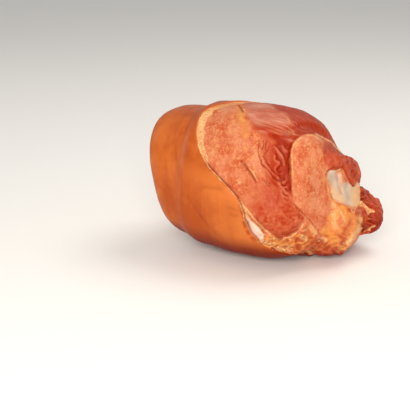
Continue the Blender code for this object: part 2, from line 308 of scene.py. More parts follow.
def past_rind(points):
    """How far past the rind's edge a point is, towards the wide end, and its turn round the shank."""
    turn = np.degrees(np.arctan2(AXIS_Y - points[:, 1], points[:, 2] - AXIS_Z))
    line = smooth_line(RIND_EDGE)
    edge_x = np.interp(turn, line[:, 0], line[:, 1])
    rise = np.interp(turn, line[:-1, 0], np.diff(line[:, 1]) / np.maximum(np.diff(line[:, 0]), 1e-6))
    slant = rise / math.radians(SHANK_RADIUS)
    return (points[:, 0] - edge_x) / np.sqrt(1 + slant**2), turn


def lump_gap(points):
    return blend(mass(points, FAR_LUMP), mass(points, FAR_ROOT), 5)


def folds_gap(points):
    return blend(mass(points, FOLD_HIGH), mass(points, FOLD_LOW), 4)


def masses(points):
    """The smooth muscle masses under every mark."""
    end = blend(mass(points, HEEL), mass(points, JOINT), 8)
    form = blend(mass(points, SHANK), end, 14)
    form = blend(form, mass(points, END_SLAB), 6)
    form = blend(form, mass(points, COLLAR), 3)
    form = blend(mass(points, SLEEVE), form, 3)
    form = blend(form, lump_gap(points), 3)
    return blend(form, folds_gap(points), 2)


def window(points, margin=0.0):
    """1 where the joint bone shows through the wide end, or the sawn one through the narrow end."""
    across, up, out = on_face(points)
    ragged = swells(points, (1.2, 5.0, 31), (0.5, 2.4, 31))
    near_window = ramp(inside(across, up, BONE_WINDOW) + ragged + margin, -0.6, 0.9) * ramp(out, *FACE_FADE)
    narrow = ramp(points[:, 0], -40, -50)
    return np.maximum(near_window, narrow)


def narrow_reach(points):
    """1 at the edge of the narrow end's cut, and less inside it."""
    from_middle = np.abs(points[:, 1:] - np.array(NARROW_MIDDLE)) / np.array(NARROW_HALF)
    return np.sum(from_middle**2.5, axis=1)


def hollow_and_bulges(points, across, up):
    """The hollow, the raised muscle on the right of its step, and the round muscle below."""
    x, y = across - HOLLOW_MIDDLE[0], up - HOLLOW_MIDDLE[1]
    lean_x = math.cos(HOLLOW_LEAN) * x + math.sin(HOLLOW_LEAN) * y
    lean_y = math.cos(HOLLOW_LEAN) * y - math.sin(HOLLOW_LEAN) * x
    bowl = np.exp(-(np.abs(lean_x / HOLLOW_HALF[0]) ** 2.4) - np.abs(lean_y / HOLLOW_HALF[1]) ** 2.4)
    gap, way = beside(across + 0.7 * swell(points, 5.0, 58), up, STEP)
    right_of_step = ramp(-gap, -0.5, 1.1) * ramp(np.abs(gap), 60, 45)
    height = -HOLLOW_DEPTH * bowl * (1 - right_of_step)
    height += 1.4 * right_of_step * ramp(way, 0, 0.08) * ramp(np.abs(gap), 26, 8)
    round_muscle = hump(across, ROUND_MIDDLE[0], ROUND_HALF[0]) * hump(up, ROUND_MIDDLE[1], ROUND_HALF[1])
    return height + ROUND_RISE * round_muscle


def relief(points):
    """How far the bare meat stands out from the masses: seams, slits, hollow and steps."""
    across, up, out = on_face(points)
    past, turn = past_rind(points)
    shadow_gap = -hump(past, 1.6, 1.6) * ramp(turn, 40, 60) * ramp(turn, 130, 110)
    marks = hollow_and_bulges(points, across, up)
    for lines, width, height, fade in FACE_MARKS:
        marks += strokes(across, up, lines, width, height, fade)
    crags = np.sin(0.6 * across + 1.7 * np.sin(0.4 * up)) * np.sin(0.75 * up + 1.3 * np.sin(0.35 * across))
    marks += 1.2 * crags * ramp(up, -44, -50) * ramp(past, 1, 5) * ramp(across, 88, 78)
    x, y, z = points.T
    far_marks = strokes(x, z, (FAR_SEAM_HIGH, FAR_SEAM_LOW), 2.6, -2.6, 0.12) * ramp(y, 15, 35)
    narrow_cut = -2.6 * ramp(narrow_reach(points), 1.0, 0.88) * ramp(x, -45, -52)
    open_bone = -2.1 * window(points) * ramp(x, -20, 0)
    return shadow_gap + marks * ramp(out, *FACE_FADE) + far_marks + narrow_cut + open_bone


# Strands of meat and fat that stand out of the surface, each as (points, thickness at start and end):
# rolled folds above the joint and on the far lump, torn fibres, and bits of pale fat
RED_STRANDS = (
    (((72, -5, 90), (78, -6, 92), (81, -4, 91.5), (83, 1, 91.5), (83, 7, 93)), 2.6, 2.2),
    (((83, 4, 90), (85, 6, 83), (87, 10, 77), (88.5, 14, 70)), 2.3, 1.5),
    (((86, 30, 79), (88, 28, 74), (88.5, 20, 73), (88.5, 15, 69)), 2.6, 1.5),
    (((84, 8, 88), (86, 18, 82.5), (87, 24, 80.5), (86.5, 18, 78)), 2.0, 1.2),
    (((82, 9, 93), (83, 20, 89), (85, 30, 82), (87, 31, 74), (87.5, 30, 68)), 2.6, 2.0),
    (((89, 34, 60), (90, 50, 52), (96, 50, 47.5), (100.5, 49, 43), (102, 48.5, 36)), 2.6, 2.0),
    (((90, 34, 55), (92, 44, 48), (97, 43, 44.5), (100, 42, 40), (101.5, 44, 34)), 2.4, 1.8),
    (((97, 54, 46), (100.5, 54, 40), (102, 53, 33), (101.5, 51, 26)), 2.4, 1.8),
    (((93.5, 36, 35), (98.5, 38.5, 33.5), (102, 43, 31)), 1.5, 1.1),
    (((93.5, 35.5, 31), (97.5, 38, 29.5), (101.5, 42.5, 27)), 1.5, 1.0),
    (((93, 29, 22), (95, 36, 21), (98.5, 39.5, 22)), 1.4, 1.0),
    (((92, 30, 46), (94, 34, 39), (94, 36, 30)), 1.8, 1.2),
    (((78, 8, 90), (82, 17, 85), (83, 23, 78), (82, 25, 70)), 4.6, 3.6),
    (((84, 36, 58), (89, 41, 50), (92, 42, 42), (92, 42, 32)), 5.0, 4.2),
)
PALE_STRANDS = (
    (((91.5, 28, 50), (93.5, 32, 46), (95.5, 36, 43), (97.5, 38, 40), (99.5, 41, 40)), 2.0, 1.2),
    (((92, 31, 45), (94.5, 35, 41.5), (97, 39, 41.5)), 2.0, 1.2),
    (((92.5, 33, 42), (94, 35, 39), (96, 38, 38)), 1.8, 1.0),
    (((100.5, 41, 27.5), (97.5, 39.5, 24.5), (93, 39.5, 20.5), (88.5, 43, 16)), 1.1, 1.3),
    (((92.5, 34, 25.5), (93.5, 26, 27.5), (93, 23, 25)), 0.9, 0.6),
)


def strand_gap(points, strand, reach=8.0):
    """Distance from a tapering strand, and no more than its reach."""
    path, start, end = strand
    line = smooth_line(path, 3)
    gap = np.full(len(points), reach)
    near = np.all((points > line.min(axis=0) - reach) & (points < line.max(axis=0) + reach), axis=1)
    close = points[near]
    least = np.full(len(close), reach)
    for i, (a, b) in enumerate(zip(line, line[1:])):
        along = np.clip((close - a) @ (b - a) / ((b - a) @ (b - a)), 0, 1)
        thickness = start + (end - start) * (i + along) / (len(line) - 1)
        least = np.minimum(least, np.linalg.norm(close - a - along[:, None] * (b - a), axis=1) - thickness)
    gap[near] = least
    return gap


def strands_gap(points, strands):
    return np.min([strand_gap(points, strand) for strand in strands], axis=0)


def strand_object(strand):
    """A round tube along the strand, with closed ends."""
    path, start, end = strand
    line = smooth_line(path, 3)
    curve = bpy.data.curves.new("strand", "CURVE")
    curve.dimensions = "3D"
    curve.bevel_depth = 1.0
    curve.bevel_resolution = 2
    curve.use_fill_caps = True
    spline = curve.splines.new("POLY")
    spline.points.add(len(line) - 1)
    for point, place, radius in zip(spline.points, line, np.linspace(start, end, len(line))):
        point.co = (*place, 1)
        point.radius = radius
    holder = bpy.data.objects.new("strand", curve)
    bpy.context.scene.collection.objects.link(holder)
    mesh = bpy.data.meshes.new_from_object(holder)
    bpy.data.objects.remove(holder)
    tube = bpy.data.objects.new("strand", mesh)
    bpy.context.scene.collection.objects.link(tube)
    return tube


def bare_meat(points):
    carved = blend(masses(points) - relief(points), strands_gap(points, RED_STRANDS), 0.7)
    return blend(carved, strands_gap(points, PALE_STRANDS), 1.8)


def rind_over_meat(points):
    """The rind's outer face, which turns in under the meat's surface at its edge."""
    past, _ = past_rind(points)
    step = RIND_STEP * ramp(-past, -0.2, 1.2) - 2.4 * ramp(past, 0.0, 1.6)
    return masses(points) - relief(points) - step


def block_object(block):
    """A UV sphere drawn out to the rounded block."""
    bpy.ops.mesh.primitive_uv_sphere_add(segments=32, ring_count=20, radius=1)
    obj = bpy.context.object
    points = coordinates(obj)
    _, level = levels(points, block)
    set_coordinates(obj, from_block(points / level[:, None], block))
    return obj


def coordinates(obj):
    flat = np.empty(len(obj.data.vertices) * 3)
    obj.data.vertices.foreach_get("co", flat)
    return flat.reshape(-1, 3)


def set_coordinates(obj, points):
    obj.data.vertices.foreach_set("co", points.ravel())
    obj.data.update()


def joined(objects):
    with bpy.context.temp_override(active_object=objects[0], selected_editable_objects=objects):
        bpy.ops.object.join()
    return objects[0]


def apply_modifiers(obj):
    graph = bpy.context.evaluated_depsgraph_get()
    mesh = bpy.data.meshes.new_from_object(obj.evaluated_get(graph))
    obj.modifiers.clear()
    obj.data = mesh


def remesh(obj, voxel):
    """One closed skin round everything in the mesh."""
    modifier = obj.modifiers.new("skin", "REMESH")
    modifier.mode = "VOXEL"
    modifier.voxel_size = voxel
    apply_modifiers(obj)


def settle(obj, form, rounds):
    """Moves each vertex straight to the form's surface."""
    step = 0.05
    for _ in range(rounds):
        points = coordinates(obj)
        here = form(points)
        slope = np.stack([form(points + step * axis) - here for axis in np.eye(3)], axis=1) / step
        length = np.maximum(np.linalg.norm(slope, axis=1), 0.3)
        move = np.clip(here / length, -2.5, 2.5)
        set_coordinates(obj, points - slope * (move / length)[:, None])


def normals_of(obj):
    flat = np.empty(len(obj.data.vertices) * 3)
    obj.data.vertices.foreach_get("normal", flat)
    return flat.reshape(-1, 3)


def valleys(obj, rounds):
    """How far each vertex lies below the ones round it, in mesh steps: + in creases, - on ridges."""
    points = coordinates(obj)
    edges = np.empty(len(obj.data.edges) * 2, int)
    obj.data.edges.foreach_get("vertices", edges)
    start, end = edges.reshape(-1, 2).T
    count = np.bincount(start, minlength=len(points)) + np.bincount(end, minlength=len(points))

    def around(values):
        total = np.bincount(start, values[end], len(points)) + np.bincount(end, values[start], len(points))
        return total / count

    mean = points
    for _ in range(rounds):
        mean = np.stack([around(mean[:, axis]) for axis in range(3)], axis=1)
    return np.sum((mean - points) * normals_of(obj), axis=1)


def keep(obj, **amounts):
    """Keeps a number for each vertex under each name, for a material to read."""
    for name, values in amounts.items():
        attribute = obj.data.attributes.new(name, "FLOAT", "POINT")
        attribute.data.foreach_set("value", values.astype(np.float32))


def finish(obj, name, surface):
    """Name, place in metres, smooth shading, finish and body."""
    set_coordinates(obj, (coordinates(obj) - FORM_MIDDLE) * MM)
    obj.name = name
    obj.data.name = name
    obj.data.shade_smooth()
    obj.data.materials.clear()
    obj.data.materials.append(surface)
    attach(obj, "root")


# What only the fine surface has, as (across, up): the folds in the hollow, pale seams of fat, and zones
HOLLOW_FOLDS = (
    ((4, 32), (4, 27), (3, 21), (4, 14), (7, 8), (12, 3), (16, -2), (21, -4), (25, -3)),
    ((8, 30), (7, 25), (6, 20)),
    ((10, 30), (9, 25), (9, 20)),
    ((13, 26), (10, 20), (7, 16), (9, 12), (12, 8), (15, 4), (19, 1), (22, 1)),
    ((15, 20), (18, 17), (18, 14), (20.5, 12), (21, 9), (19, 7), (18, 5), (20, 3.5), (24, 6)),
    ((17, 26), (20, 22), (23, 17), (25, 12), (26, 7)),
    ((23, 27), (25, 23), (27, 22), (29.5, 24)),
    ((19, 0), (21, -2.5), (25, -2)),
    ((7, -3), (9, -5), (10, -7), (13, -8.5)),
    ((9, -3), (11, -5), (12.5, -7)),
    ((20, -4), (22, -7), (24.5, -7), (26.5, -4)),
    ((24, -9), (25, -11), (27, -12)),
    ((22, -12), (24, -15), (27, -16)),
    ((23, -17), (25, -19), (28, -19)),
)
FILM_LINES = (
    ((-4, 57), (8, 57.5), (20, 56.5)), ((-3, 54), (10, 54.5), (18, 53.5)), ((1, 49), (12, 50), (23, 47.5)),
    ((24, 61), (31, 54), (35, 45)), ((31, 62), (40, 53), (47, 46)), ((4, 44), (12, 43), (20, 38)),
    ((36, 40), (44, 45), (52, 43), (60, 38)),
)
FAT_SEAMS = (
    ((-39, 20), (-34, 20), (-31, 21), (-27, 19.5), (-22, 20)),
    ((-36, 19), (-29, 16), (-25, 14), (-20, 10)),
    ((-23, 20), (-19, 21), (-16, 19), (-13, 21), (-9, 24)),
    ((-19, -9), (-16, -7), (-13, -6), (-10, -2)),
    ((-38, 22), (-34, 27), (-33, 33)),
    ((-22, 2), (-15, -3), (-9, -9)),
    ((-5, -8), (3, -12), (12, -14)),
    ((30, -15), (38, -17), (48, -14), (56, -16)),
    ((36, 12), (44, 8), (52, 9)),
    ((50, -28), (56, -34), (62, -33)),
    ((36, 20), (42, 26), (50, 27)),
)
PALE_PATCH = ((-39, 22), (-35, 21), (-30, 20))
GOLD_BAND = ((-14, 63), (-8, 56), (-8, 48), (-7, 38), (-4, 28))
MUSCLE_BOUNDARY = ((15, 64), (21, 55), (27, 51), (30, 44), (32, 37), (34, 30))
ARCH_EDGE = ((49, 35.5), (54, 34.5), (61, 32), (68, 29), (74, 25), (79, 21))
TOP_MUSCLE = (
    (-5, 54), (-5, 64), (-10, 80), (95, 90), (95, 20), (74, 20), (67, 26), (60, 33), (49, 35),
    (38, 34), (31, 27), (27, 22), (22, 27), (14, 32), (7, 34), (1, 39), (-2, 46),
)
HOLLOW = ((3, 31), (9, 34), (18, 34), (26, 29), (29, 20), (29, -14), (22, -13), (12, -1), (5, 7), (2, 18))
FLAP = (
    (29, -19), (27.5, -3), (27.2, 12), (29.5, 25), (37, 32), (46, 35), (54, 34), (59, 30), (57.5, 22),
    (58.5, 12), (60, 2), (62, -6), (66, -18), (62, -34), (60, -50), (51, -42), (42, -32), (34, -25),
)
ROUND_MUSCLE = (
    (-8, -27), (1, -37), (10, -44), (19, -49), (28, -47), (36, -41), (41, -33), (36, -25), (27, -19),
    (29, -4), (18, -3), (5, -7), (-3, -17),
)
RIGHT_FAT = (
    (66, -23), (71, -23), (79, -27), (98, -30), (98, -46), (84, -62), (68, -60), (61, -48), (60, -36),
)
BOTTOM_FAT = (
    (3, -49), (10, -48), (19, -51), (29, -50), (38, -44), (44, -38), (50, -44), (60, -52), (72, -60),
    (90, -70), (90, -90), (-10, -90),
)
WHITE_FAT = ((-6, -33), (-2, -36), (4, -41), (8, -47), (8, -52), (3, -50), (-3, -43))
DARK_FLAP = (
    (62, 8), (58, 13), (56.5, 21), (59, 29), (68, 31), (76, 28), (96, 24), (97, 4), (92, -4), (85, -7),
    (81, -4), (78, 1), (74, 7),
)
CREAM_STREAKS = (
    ((64, -18), (68, -24), (72, -29), (76, -34), (77, -39), (76, -44)),
    ((66, -28), (67, -34), (67, -39), (70, -46)),
    ((45, -39), (49, -44), (52, -49)),
)
CREAM_PLATE = ((95, -32), (93, -38), (91, -43), (88, -47), (83, -52), (78, -58))
PALE_STRIP = ((-14, -16), (-9, -23), (-3, -31), (3, -38), (10, -44), (17, -49.5))
FAT_CRUMBS = (
    ((16, -57), (22, -59), (27, -60), (33, -60)),
    ((37, -49.5), (40, -49), (43, -51), (45, -53.5)),
    ((57, -50.5), (60, -52), (63, -55)),
    ((8, -53), (12, -55), (15, -55)),
)
ORANGE_STREAKS = (((72, -24), (77, -28), (79, -34)), ((56, -42), (62, -47), (69, -54)))
RED_STREAKS = (
    ((85, -35), (80, -40), (76, -47), (73, -52)), ((78, -25), (86, -29), (92, -31)),
    ((69, -20), (74, -23), (79, -25)), ((79, -50), (78, -58)),
)
CRUMB_LINES = (
    ((3, -49), (12, -51), (22, -54), (31, -53), (40, -47), (46, -42)),
    ((12, -57), (22, -60), (34, -58)), ((57, -51), (62, -54)), ((76, -57), (81, -57)),
)
MEAT_VOXELS = (2.0, 0.74)
MEAT_UNDER_RIND = 6.0
SHANK_CORE = (20.0, 6.0, 65.0)
MUSCLE_GRAIN = np.array([1.7, 22.0, 9.0])
STRING_STRETCH = np.array([0.3, 0.3, 1.0])
JOINT_END = np.array([75.0, 15.0, 70.0])
FIBRE_SPREAD = 48.0


def most(*amounts):
    return np.max(amounts, axis=0)


def zone(across, up, outline, soft=2.0):
    """1 inside an outline on the cut face, 0 outside, with an edge this soft."""
    return ramp(inside(across, up, outline), -soft / 2, soft / 2)


def grain_of(points):
    """(across the grain, along it, and out): muscle fibres run along the shank and meet at the joint."""
    x, y, z = (points - JOINT_END).T
    round_joint = FIBRE_SPREAD * np.arctan2(y, z) + 1.5 * swell(points, 24.0, 10)
    return np.stack([round_joint, x, np.hypot(y, z)], axis=1)


def ridged(heights):
    """The same random heights with sharp tops, from -1 to 1."""
    return 1 - 2 * np.abs(heights)


def fibred(across, up, lean, sizes, seed):
    """Random heights drawn out into fibres on the cut face: their lean, and (width, length)."""
    return swell(np.stack([across + lean * up, up, 0 * up], axis=1), np.array([*sizes, 1.0]), seed)


def flakes_of(points, across, up):
    """0 to 1: flat scraps of fat, long ways across the face, torn ragged at the bottom of the cut."""
    x = across + 0.35 * up + 1.6 * swell(points, 7.0, 21)
    y = up - 0.25 * across + 1.2 * swell(points, 5.0, 22)
    heights = 0.6 * fibred(x, y, 0, (6.5, 2.8), 14) + 0.45 * fibred(x, y, 0, (3.2, 1.7), 15)
    return ramp(heights, -0.15, 0.22)


def zones_of(points):
    """Where each vertex lies, and how far it belongs to each kind of surface, 0 to 1."""
    across, up, out = on_face(points)
    face = ramp(out, *FACE_FADE)
    past, turn = past_rind(points)
    x, y, z = points.T
    blur = 2.5 * swell(points, 7.0, 3)
    lump = ramp(-lump_gap(points), -2.5, -0.5) * ramp(x, 62, 68)
    flap = zone(across + 0.3 * blur, up, FLAP, 1.0) * face
    far = np.maximum(1 - face, ramp(y, 22, 34)) * ramp(z, 12, 40)
    rim = np.interp(turn, *zip(*RIM_WIDTH)) * (1 + swells(points, (0.3, 9.0, 4), (0.2, 3.6, 4)))
    below = ramp(up - 0.5 * across + 2 * blur, -4, -40)

    def area(outline, soft):
        """A zone with a wandering edge."""
        return zone(across + blur, up + blur, outline, soft) * face

    return SimpleNamespace(
        across=across,
        up=up,
        crooked=across + 0.7 * swell(points, 3.5, 33),
        face=face,
        past=past,
        turn=turn,
        lump=lump,
        folds=ramp(-folds_gap(points), -2.0, -0.3),
        flap=flap,
        hollow=area(HOLLOW, 7.0) * ramp(across, 1, 20) * (1 - flap),
        round=zone(across + 0.3 * blur, up, ROUND_MUSCLE, 2.4) * below * face,
        top=np.maximum(area(TOP_MUSCLE, 6.0), far),
        rim=ramp(past, rim + 0.6, rim - 0.6),
        white=zone(across, up, WHITE_FAT, 3.0) * face,
        dark_flap=area(DARK_FLAP, 4.0),
        red_strand=ramp(strands_gap(points, RED_STRANDS), 0.9, 0.1),
        pale_strand=ramp(strands_gap(points, PALE_STRANDS), 0.7, 0.1),
        flakes=flakes_of(points, across, up),
        right_fat=area(RIGHT_FAT, 4.0) * (1 - lump),
        bottom_fat=np.maximum(area(BOTTOM_FAT, 3.0), ramp(z, 16, 8)) * (1 - lump),
    )


def crease_lines(points, kind):
    """1 along the dark lines of slits, seams and folds, which are partly painted shade, and along the painted
    shadow that the rind's edge casts on the meat.
    """
    across, up = kind.across, kind.up
    dark = strokes(across, up, (KNIFE_SLIT, TOP_SLIT), 0.55, 0.8)
    dark += stroke(across, up, LONG_SEAM, 0.5, 0.2, 0.05)
    dark += stroke(across, up, ROUND_MUSCLE_EDGE, 1.2, 0.5, 0.25)
    dark += strokes(kind.crooked, up, HOLLOW_FOLDS, 0.5, 0.7)
    dark += strokes(across, up + 0.8 * swell(points, 7.0, 34), FILM_LINES, 0.5, 0.3, 0.3)
    # painted shadow: a dark line on the meat just past the rind's raised edge
    rind_shadow = hump(kind.past, 0.7, 0.8) * ramp(kind.turn, 58, 68) * ramp(kind.turn, 150, 135)
    return np.clip(dark * kind.face * patchy(points, 5.0, 18, -0.9, 0.1) + rind_shadow, 0, 1)


def pale_lines(points, kind):
    """1 along the seams of fat and the pale lips of the slits, and along a pale line on the step's lip that
    is partly a painted highlight.
    """
    across, up = kind.across, kind.up
    wander = 1.2 * swell(points, 6.0, 8)
    broken = patchy(points, 5.0, 9, -0.9, 0.2)
    streaked = 0.75 + 0.45 * fibred(across, up, 0.5, (2.2, 9.0), 9)
    lips = [shifted(slit[1:], 1.0, 0.7) for slit in (KNIFE_SLIT, TOP_SLIT)]
    gap, way = beside(across, up, STEP)
    # a pale line along the top of the step, partly a painted highlight on its lip
    pale = 0.5 * hump(gap, -2.0, 1.0) * ramp(way, 0.1, 0.2) * ramp(way, 0.98, 0.8) * broken
    pale += 0.35 * hump(kind.past, 1.5, 0.6) * ramp(kind.turn, 60, 75) * broken
    # lines, how far they wander across and up, width, strength, fade at the ends, and how they break up
    for lines, sideways, upwards, width, strength, fade, texture in (
        (FAT_SEAMS, 1, 1, 1.1, 0.38, 0.3, broken),
        ([PALE_PATCH], 2, 1, 1.8, 0.6, 0.3, patchy(points, 2.4, 57, -0.8, 0.2)),
        (lips, 0.4, 0, 0.6, 0.8, 0.3, patchy(points, 2.6, 49, -0.8, 0.0)),
        ([PALE_STRIP], 0.4, 0, 0.9, 0.75, 0.15, 1),
        ([MUSCLE_BOUNDARY], 0.6, 0, 0.9, 0.5, 0.15, broken),
        ([ARCH_EDGE], 0, 0.4, 0.9, 0.7, 0.15, 1),
        ([shifted(ROUND_MUSCLE_EDGE[2:], 0, -2.2)], 1, 0, 1.0, 0.8, 0.15, broken),
        (FAT_CRUMBS, 1, 1, 1.7, 0.8, 0.2, 1),
        ([shifted(LONG_SEAM, -1.6, -0.8)], 0.4, 0, 0.9, 0.35, 0.2, broken),
        (CREAM_STREAKS, 1, 1, 3.6, 0.7, 0.15, streaked),
        ([CREAM_PLATE], 0.5, 0, 3.6, 1.15, 0.1, streaked),
    ):
        x, y = across + sideways * wander, up + upwards * wander
        pale += strokes(x, y, lines, width, strength, fade) * texture
    return np.clip(pale * kind.face, 0, 1)


def fine_relief(points, kind):
    """Grain, folds and crags of the bare meat that are too fine for the solid, mostly cut inwards."""
    across, up, face = kind.across, kind.up, kind.face
    height = swells(points, (0.20, 4.5, 5), (0.09, 2.0, 6)) - 0.25
    upright = fibred(across + 2.0 * swell(points, 8.0, 20), up, 0.35, (2.6, 12.0), 11)
    height += 0.12 * (ridged(upright) - 0.6) * kind.hollow
    height += strokes(kind.crooked, up, HOLLOW_FOLDS, 0.55, -0.45, lip=0.4) * face
    streaks = swell(grain_of(points), MUSCLE_GRAIN, 12)
    height += (0.12 * streaks + 0.5 * swell(points, 9.0, 13) - 0.25) * kind.top
    torn_fat = np.maximum(kind.bottom_fat, 0.5 * kind.right_fat)
    height += (kind.flakes - 0.8 + 0.2 * swell(points, 2.6, 15)) * torn_fat
    height += stroke(across, up, CREAM_PLATE, 2.2, 0.9, 0.1) * face
    strings = ridged(swell(points * STRING_STRETCH, 3.4, 16))
    height += 0.35 * (strings - 0.6) * np.maximum(kind.lump, 1.5 * kind.folds)
    height += 0.45 * swell(points, 2.4, 37) * np.maximum(kind.red_strand, 1.8 * kind.pale_strand)
    ragged = 0.35 * swell(points, 3.2, 17) - 0.5 * patchy(points, 2.0, 36, 0.3, 0.8)
    return height + kind.rim * (1 - kind.white) * ragged


def cut_away(obj, kept, core):
    """Removes the vertices that aren't kept, and closes the opening with a fan to a point deep inside."""
    mesh = bmesh.new()
    mesh.from_mesh(obj.data)
    gone = [vertex for vertex, stays in zip(mesh.verts, kept) if not stays]
    bmesh.ops.delete(mesh, geom=gone, context="VERTS")
    if core is not None:
        open_edges = [edge for edge in mesh.edges if edge.is_boundary]
        middle = mesh.verts.new(core)
        for edge in open_edges:
            mesh.faces.new((*edge.verts, middle))
        bmesh.ops.recalc_face_normals(mesh, faces=mesh.faces)
    mesh.to_mesh(obj.data)
    mesh.free()


def srgb(code):
    """A hex colour as linear red, green, blue and opacity."""
    parts = [int(code[i : i + 2], 16) / 255 for i in (1, 3, 5)]
    return (*[p / 12.92 if p <= 0.04045 else ((p + 0.055) / 1.055) ** 2.4 for p in parts], 1)


def add(tree, kind, settings=None, **inputs):
    """Adds a node. An input goes by its name, or by its number where it is called n0, n1 and so on."""
    node = tree.nodes.new(kind)
    for name, value in (settings or {}).items():
        setattr(node, name, value)
    for name, value in inputs.items():
        socket = node.inputs[int(name[1:]) if name[1:].isdigit() else name.replace("_", " ")]
        if isinstance(value, bpy.types.NodeSocket):
            tree.links.new(value, socket)
        else:
            socket.default_value = value
    return node


def new_finish(name):
    """A material with an empty tree, and the tree."""
    made = bpy.data.materials.new(name)
    made.use_nodes = True
    made.node_tree.nodes.clear()
    return made, made.node_tree


def start_finish(name, marks, noises):
    """A material that reads marks kept on its mesh, and noises as (name, millimetres, detail, roughness)."""
    made, tree = new_finish(name)
    place = add(tree, "ShaderNodeTexCoord").outputs["Object"]
    amount = {
        mark: add(tree, "ShaderNodeAttribute", {"attribute_name": mark}).outputs["Fac"] for mark in marks
    }
    for noise, size, detail, rough in noises:
        amount[noise] = add(
            tree, "ShaderNodeTexNoise", Vector=place, Scale=1 / (size * MM), Detail=detail, Roughness=rough
        ).outputs["Fac"]
    return made, tree, place, SimpleNamespace(**amount)


MIXED = {"data_type": "RGBA"}
MIX_RESULT = 2
TIMES = {"operation": "MULTIPLY"}
TIMES_PLUS = {"operation": "MULTIPLY_ADD"}

# The cut meat: muscle pink from curing salt, browned a little by smoke, moist but not wet. It has pale
# flecks and thin lines of fat, orange smoked fat, cream fat near the skin, and dark lines in its slits and
# folds, with painted shade in creases and near the floor and painted highlights on the lips of folds.
MEAT_LIGHT = srgb("#d17f58")
MEAT_DEEP = srgb("#bd4f28")
MEAT_FLECK = srgb("#e09a6c")
MUSCLE_RED = srgb("#ae3812")
MUSCLE_DARK = srgb("#962406")
MUSCLE_SHEEN = srgb("#d59479")
FAT_ORANGE = srgb("#cf6f26")
FAT_YELLOW = srgb("#dd974f")
FAT_CREAM = srgb("#e8b47c")
FAT_WHITE = srgb("#eccbb6")
CREASE_SHADE_BROWN = srgb("#7d1604")

# Noises for its blotches of muscle, its specks and cracks of fat, and the tooth of cut fibres. Threads
# of fat run round bent cells, and a streak of muscle has its size across the grain, along it and inwards.
MEAT_NOISES = (
    ("blotch", 11, 4.0, 0.65), ("speck", 3.2, 4.0, 0.62), ("fine", 1.5, 2.0, 0.6), ("tooth", 1.3, 3.0, 0.7),
)
THREAD_CELL = 15
THREAD_BEND = 9
FIBRE = (1.2, 15, 9)


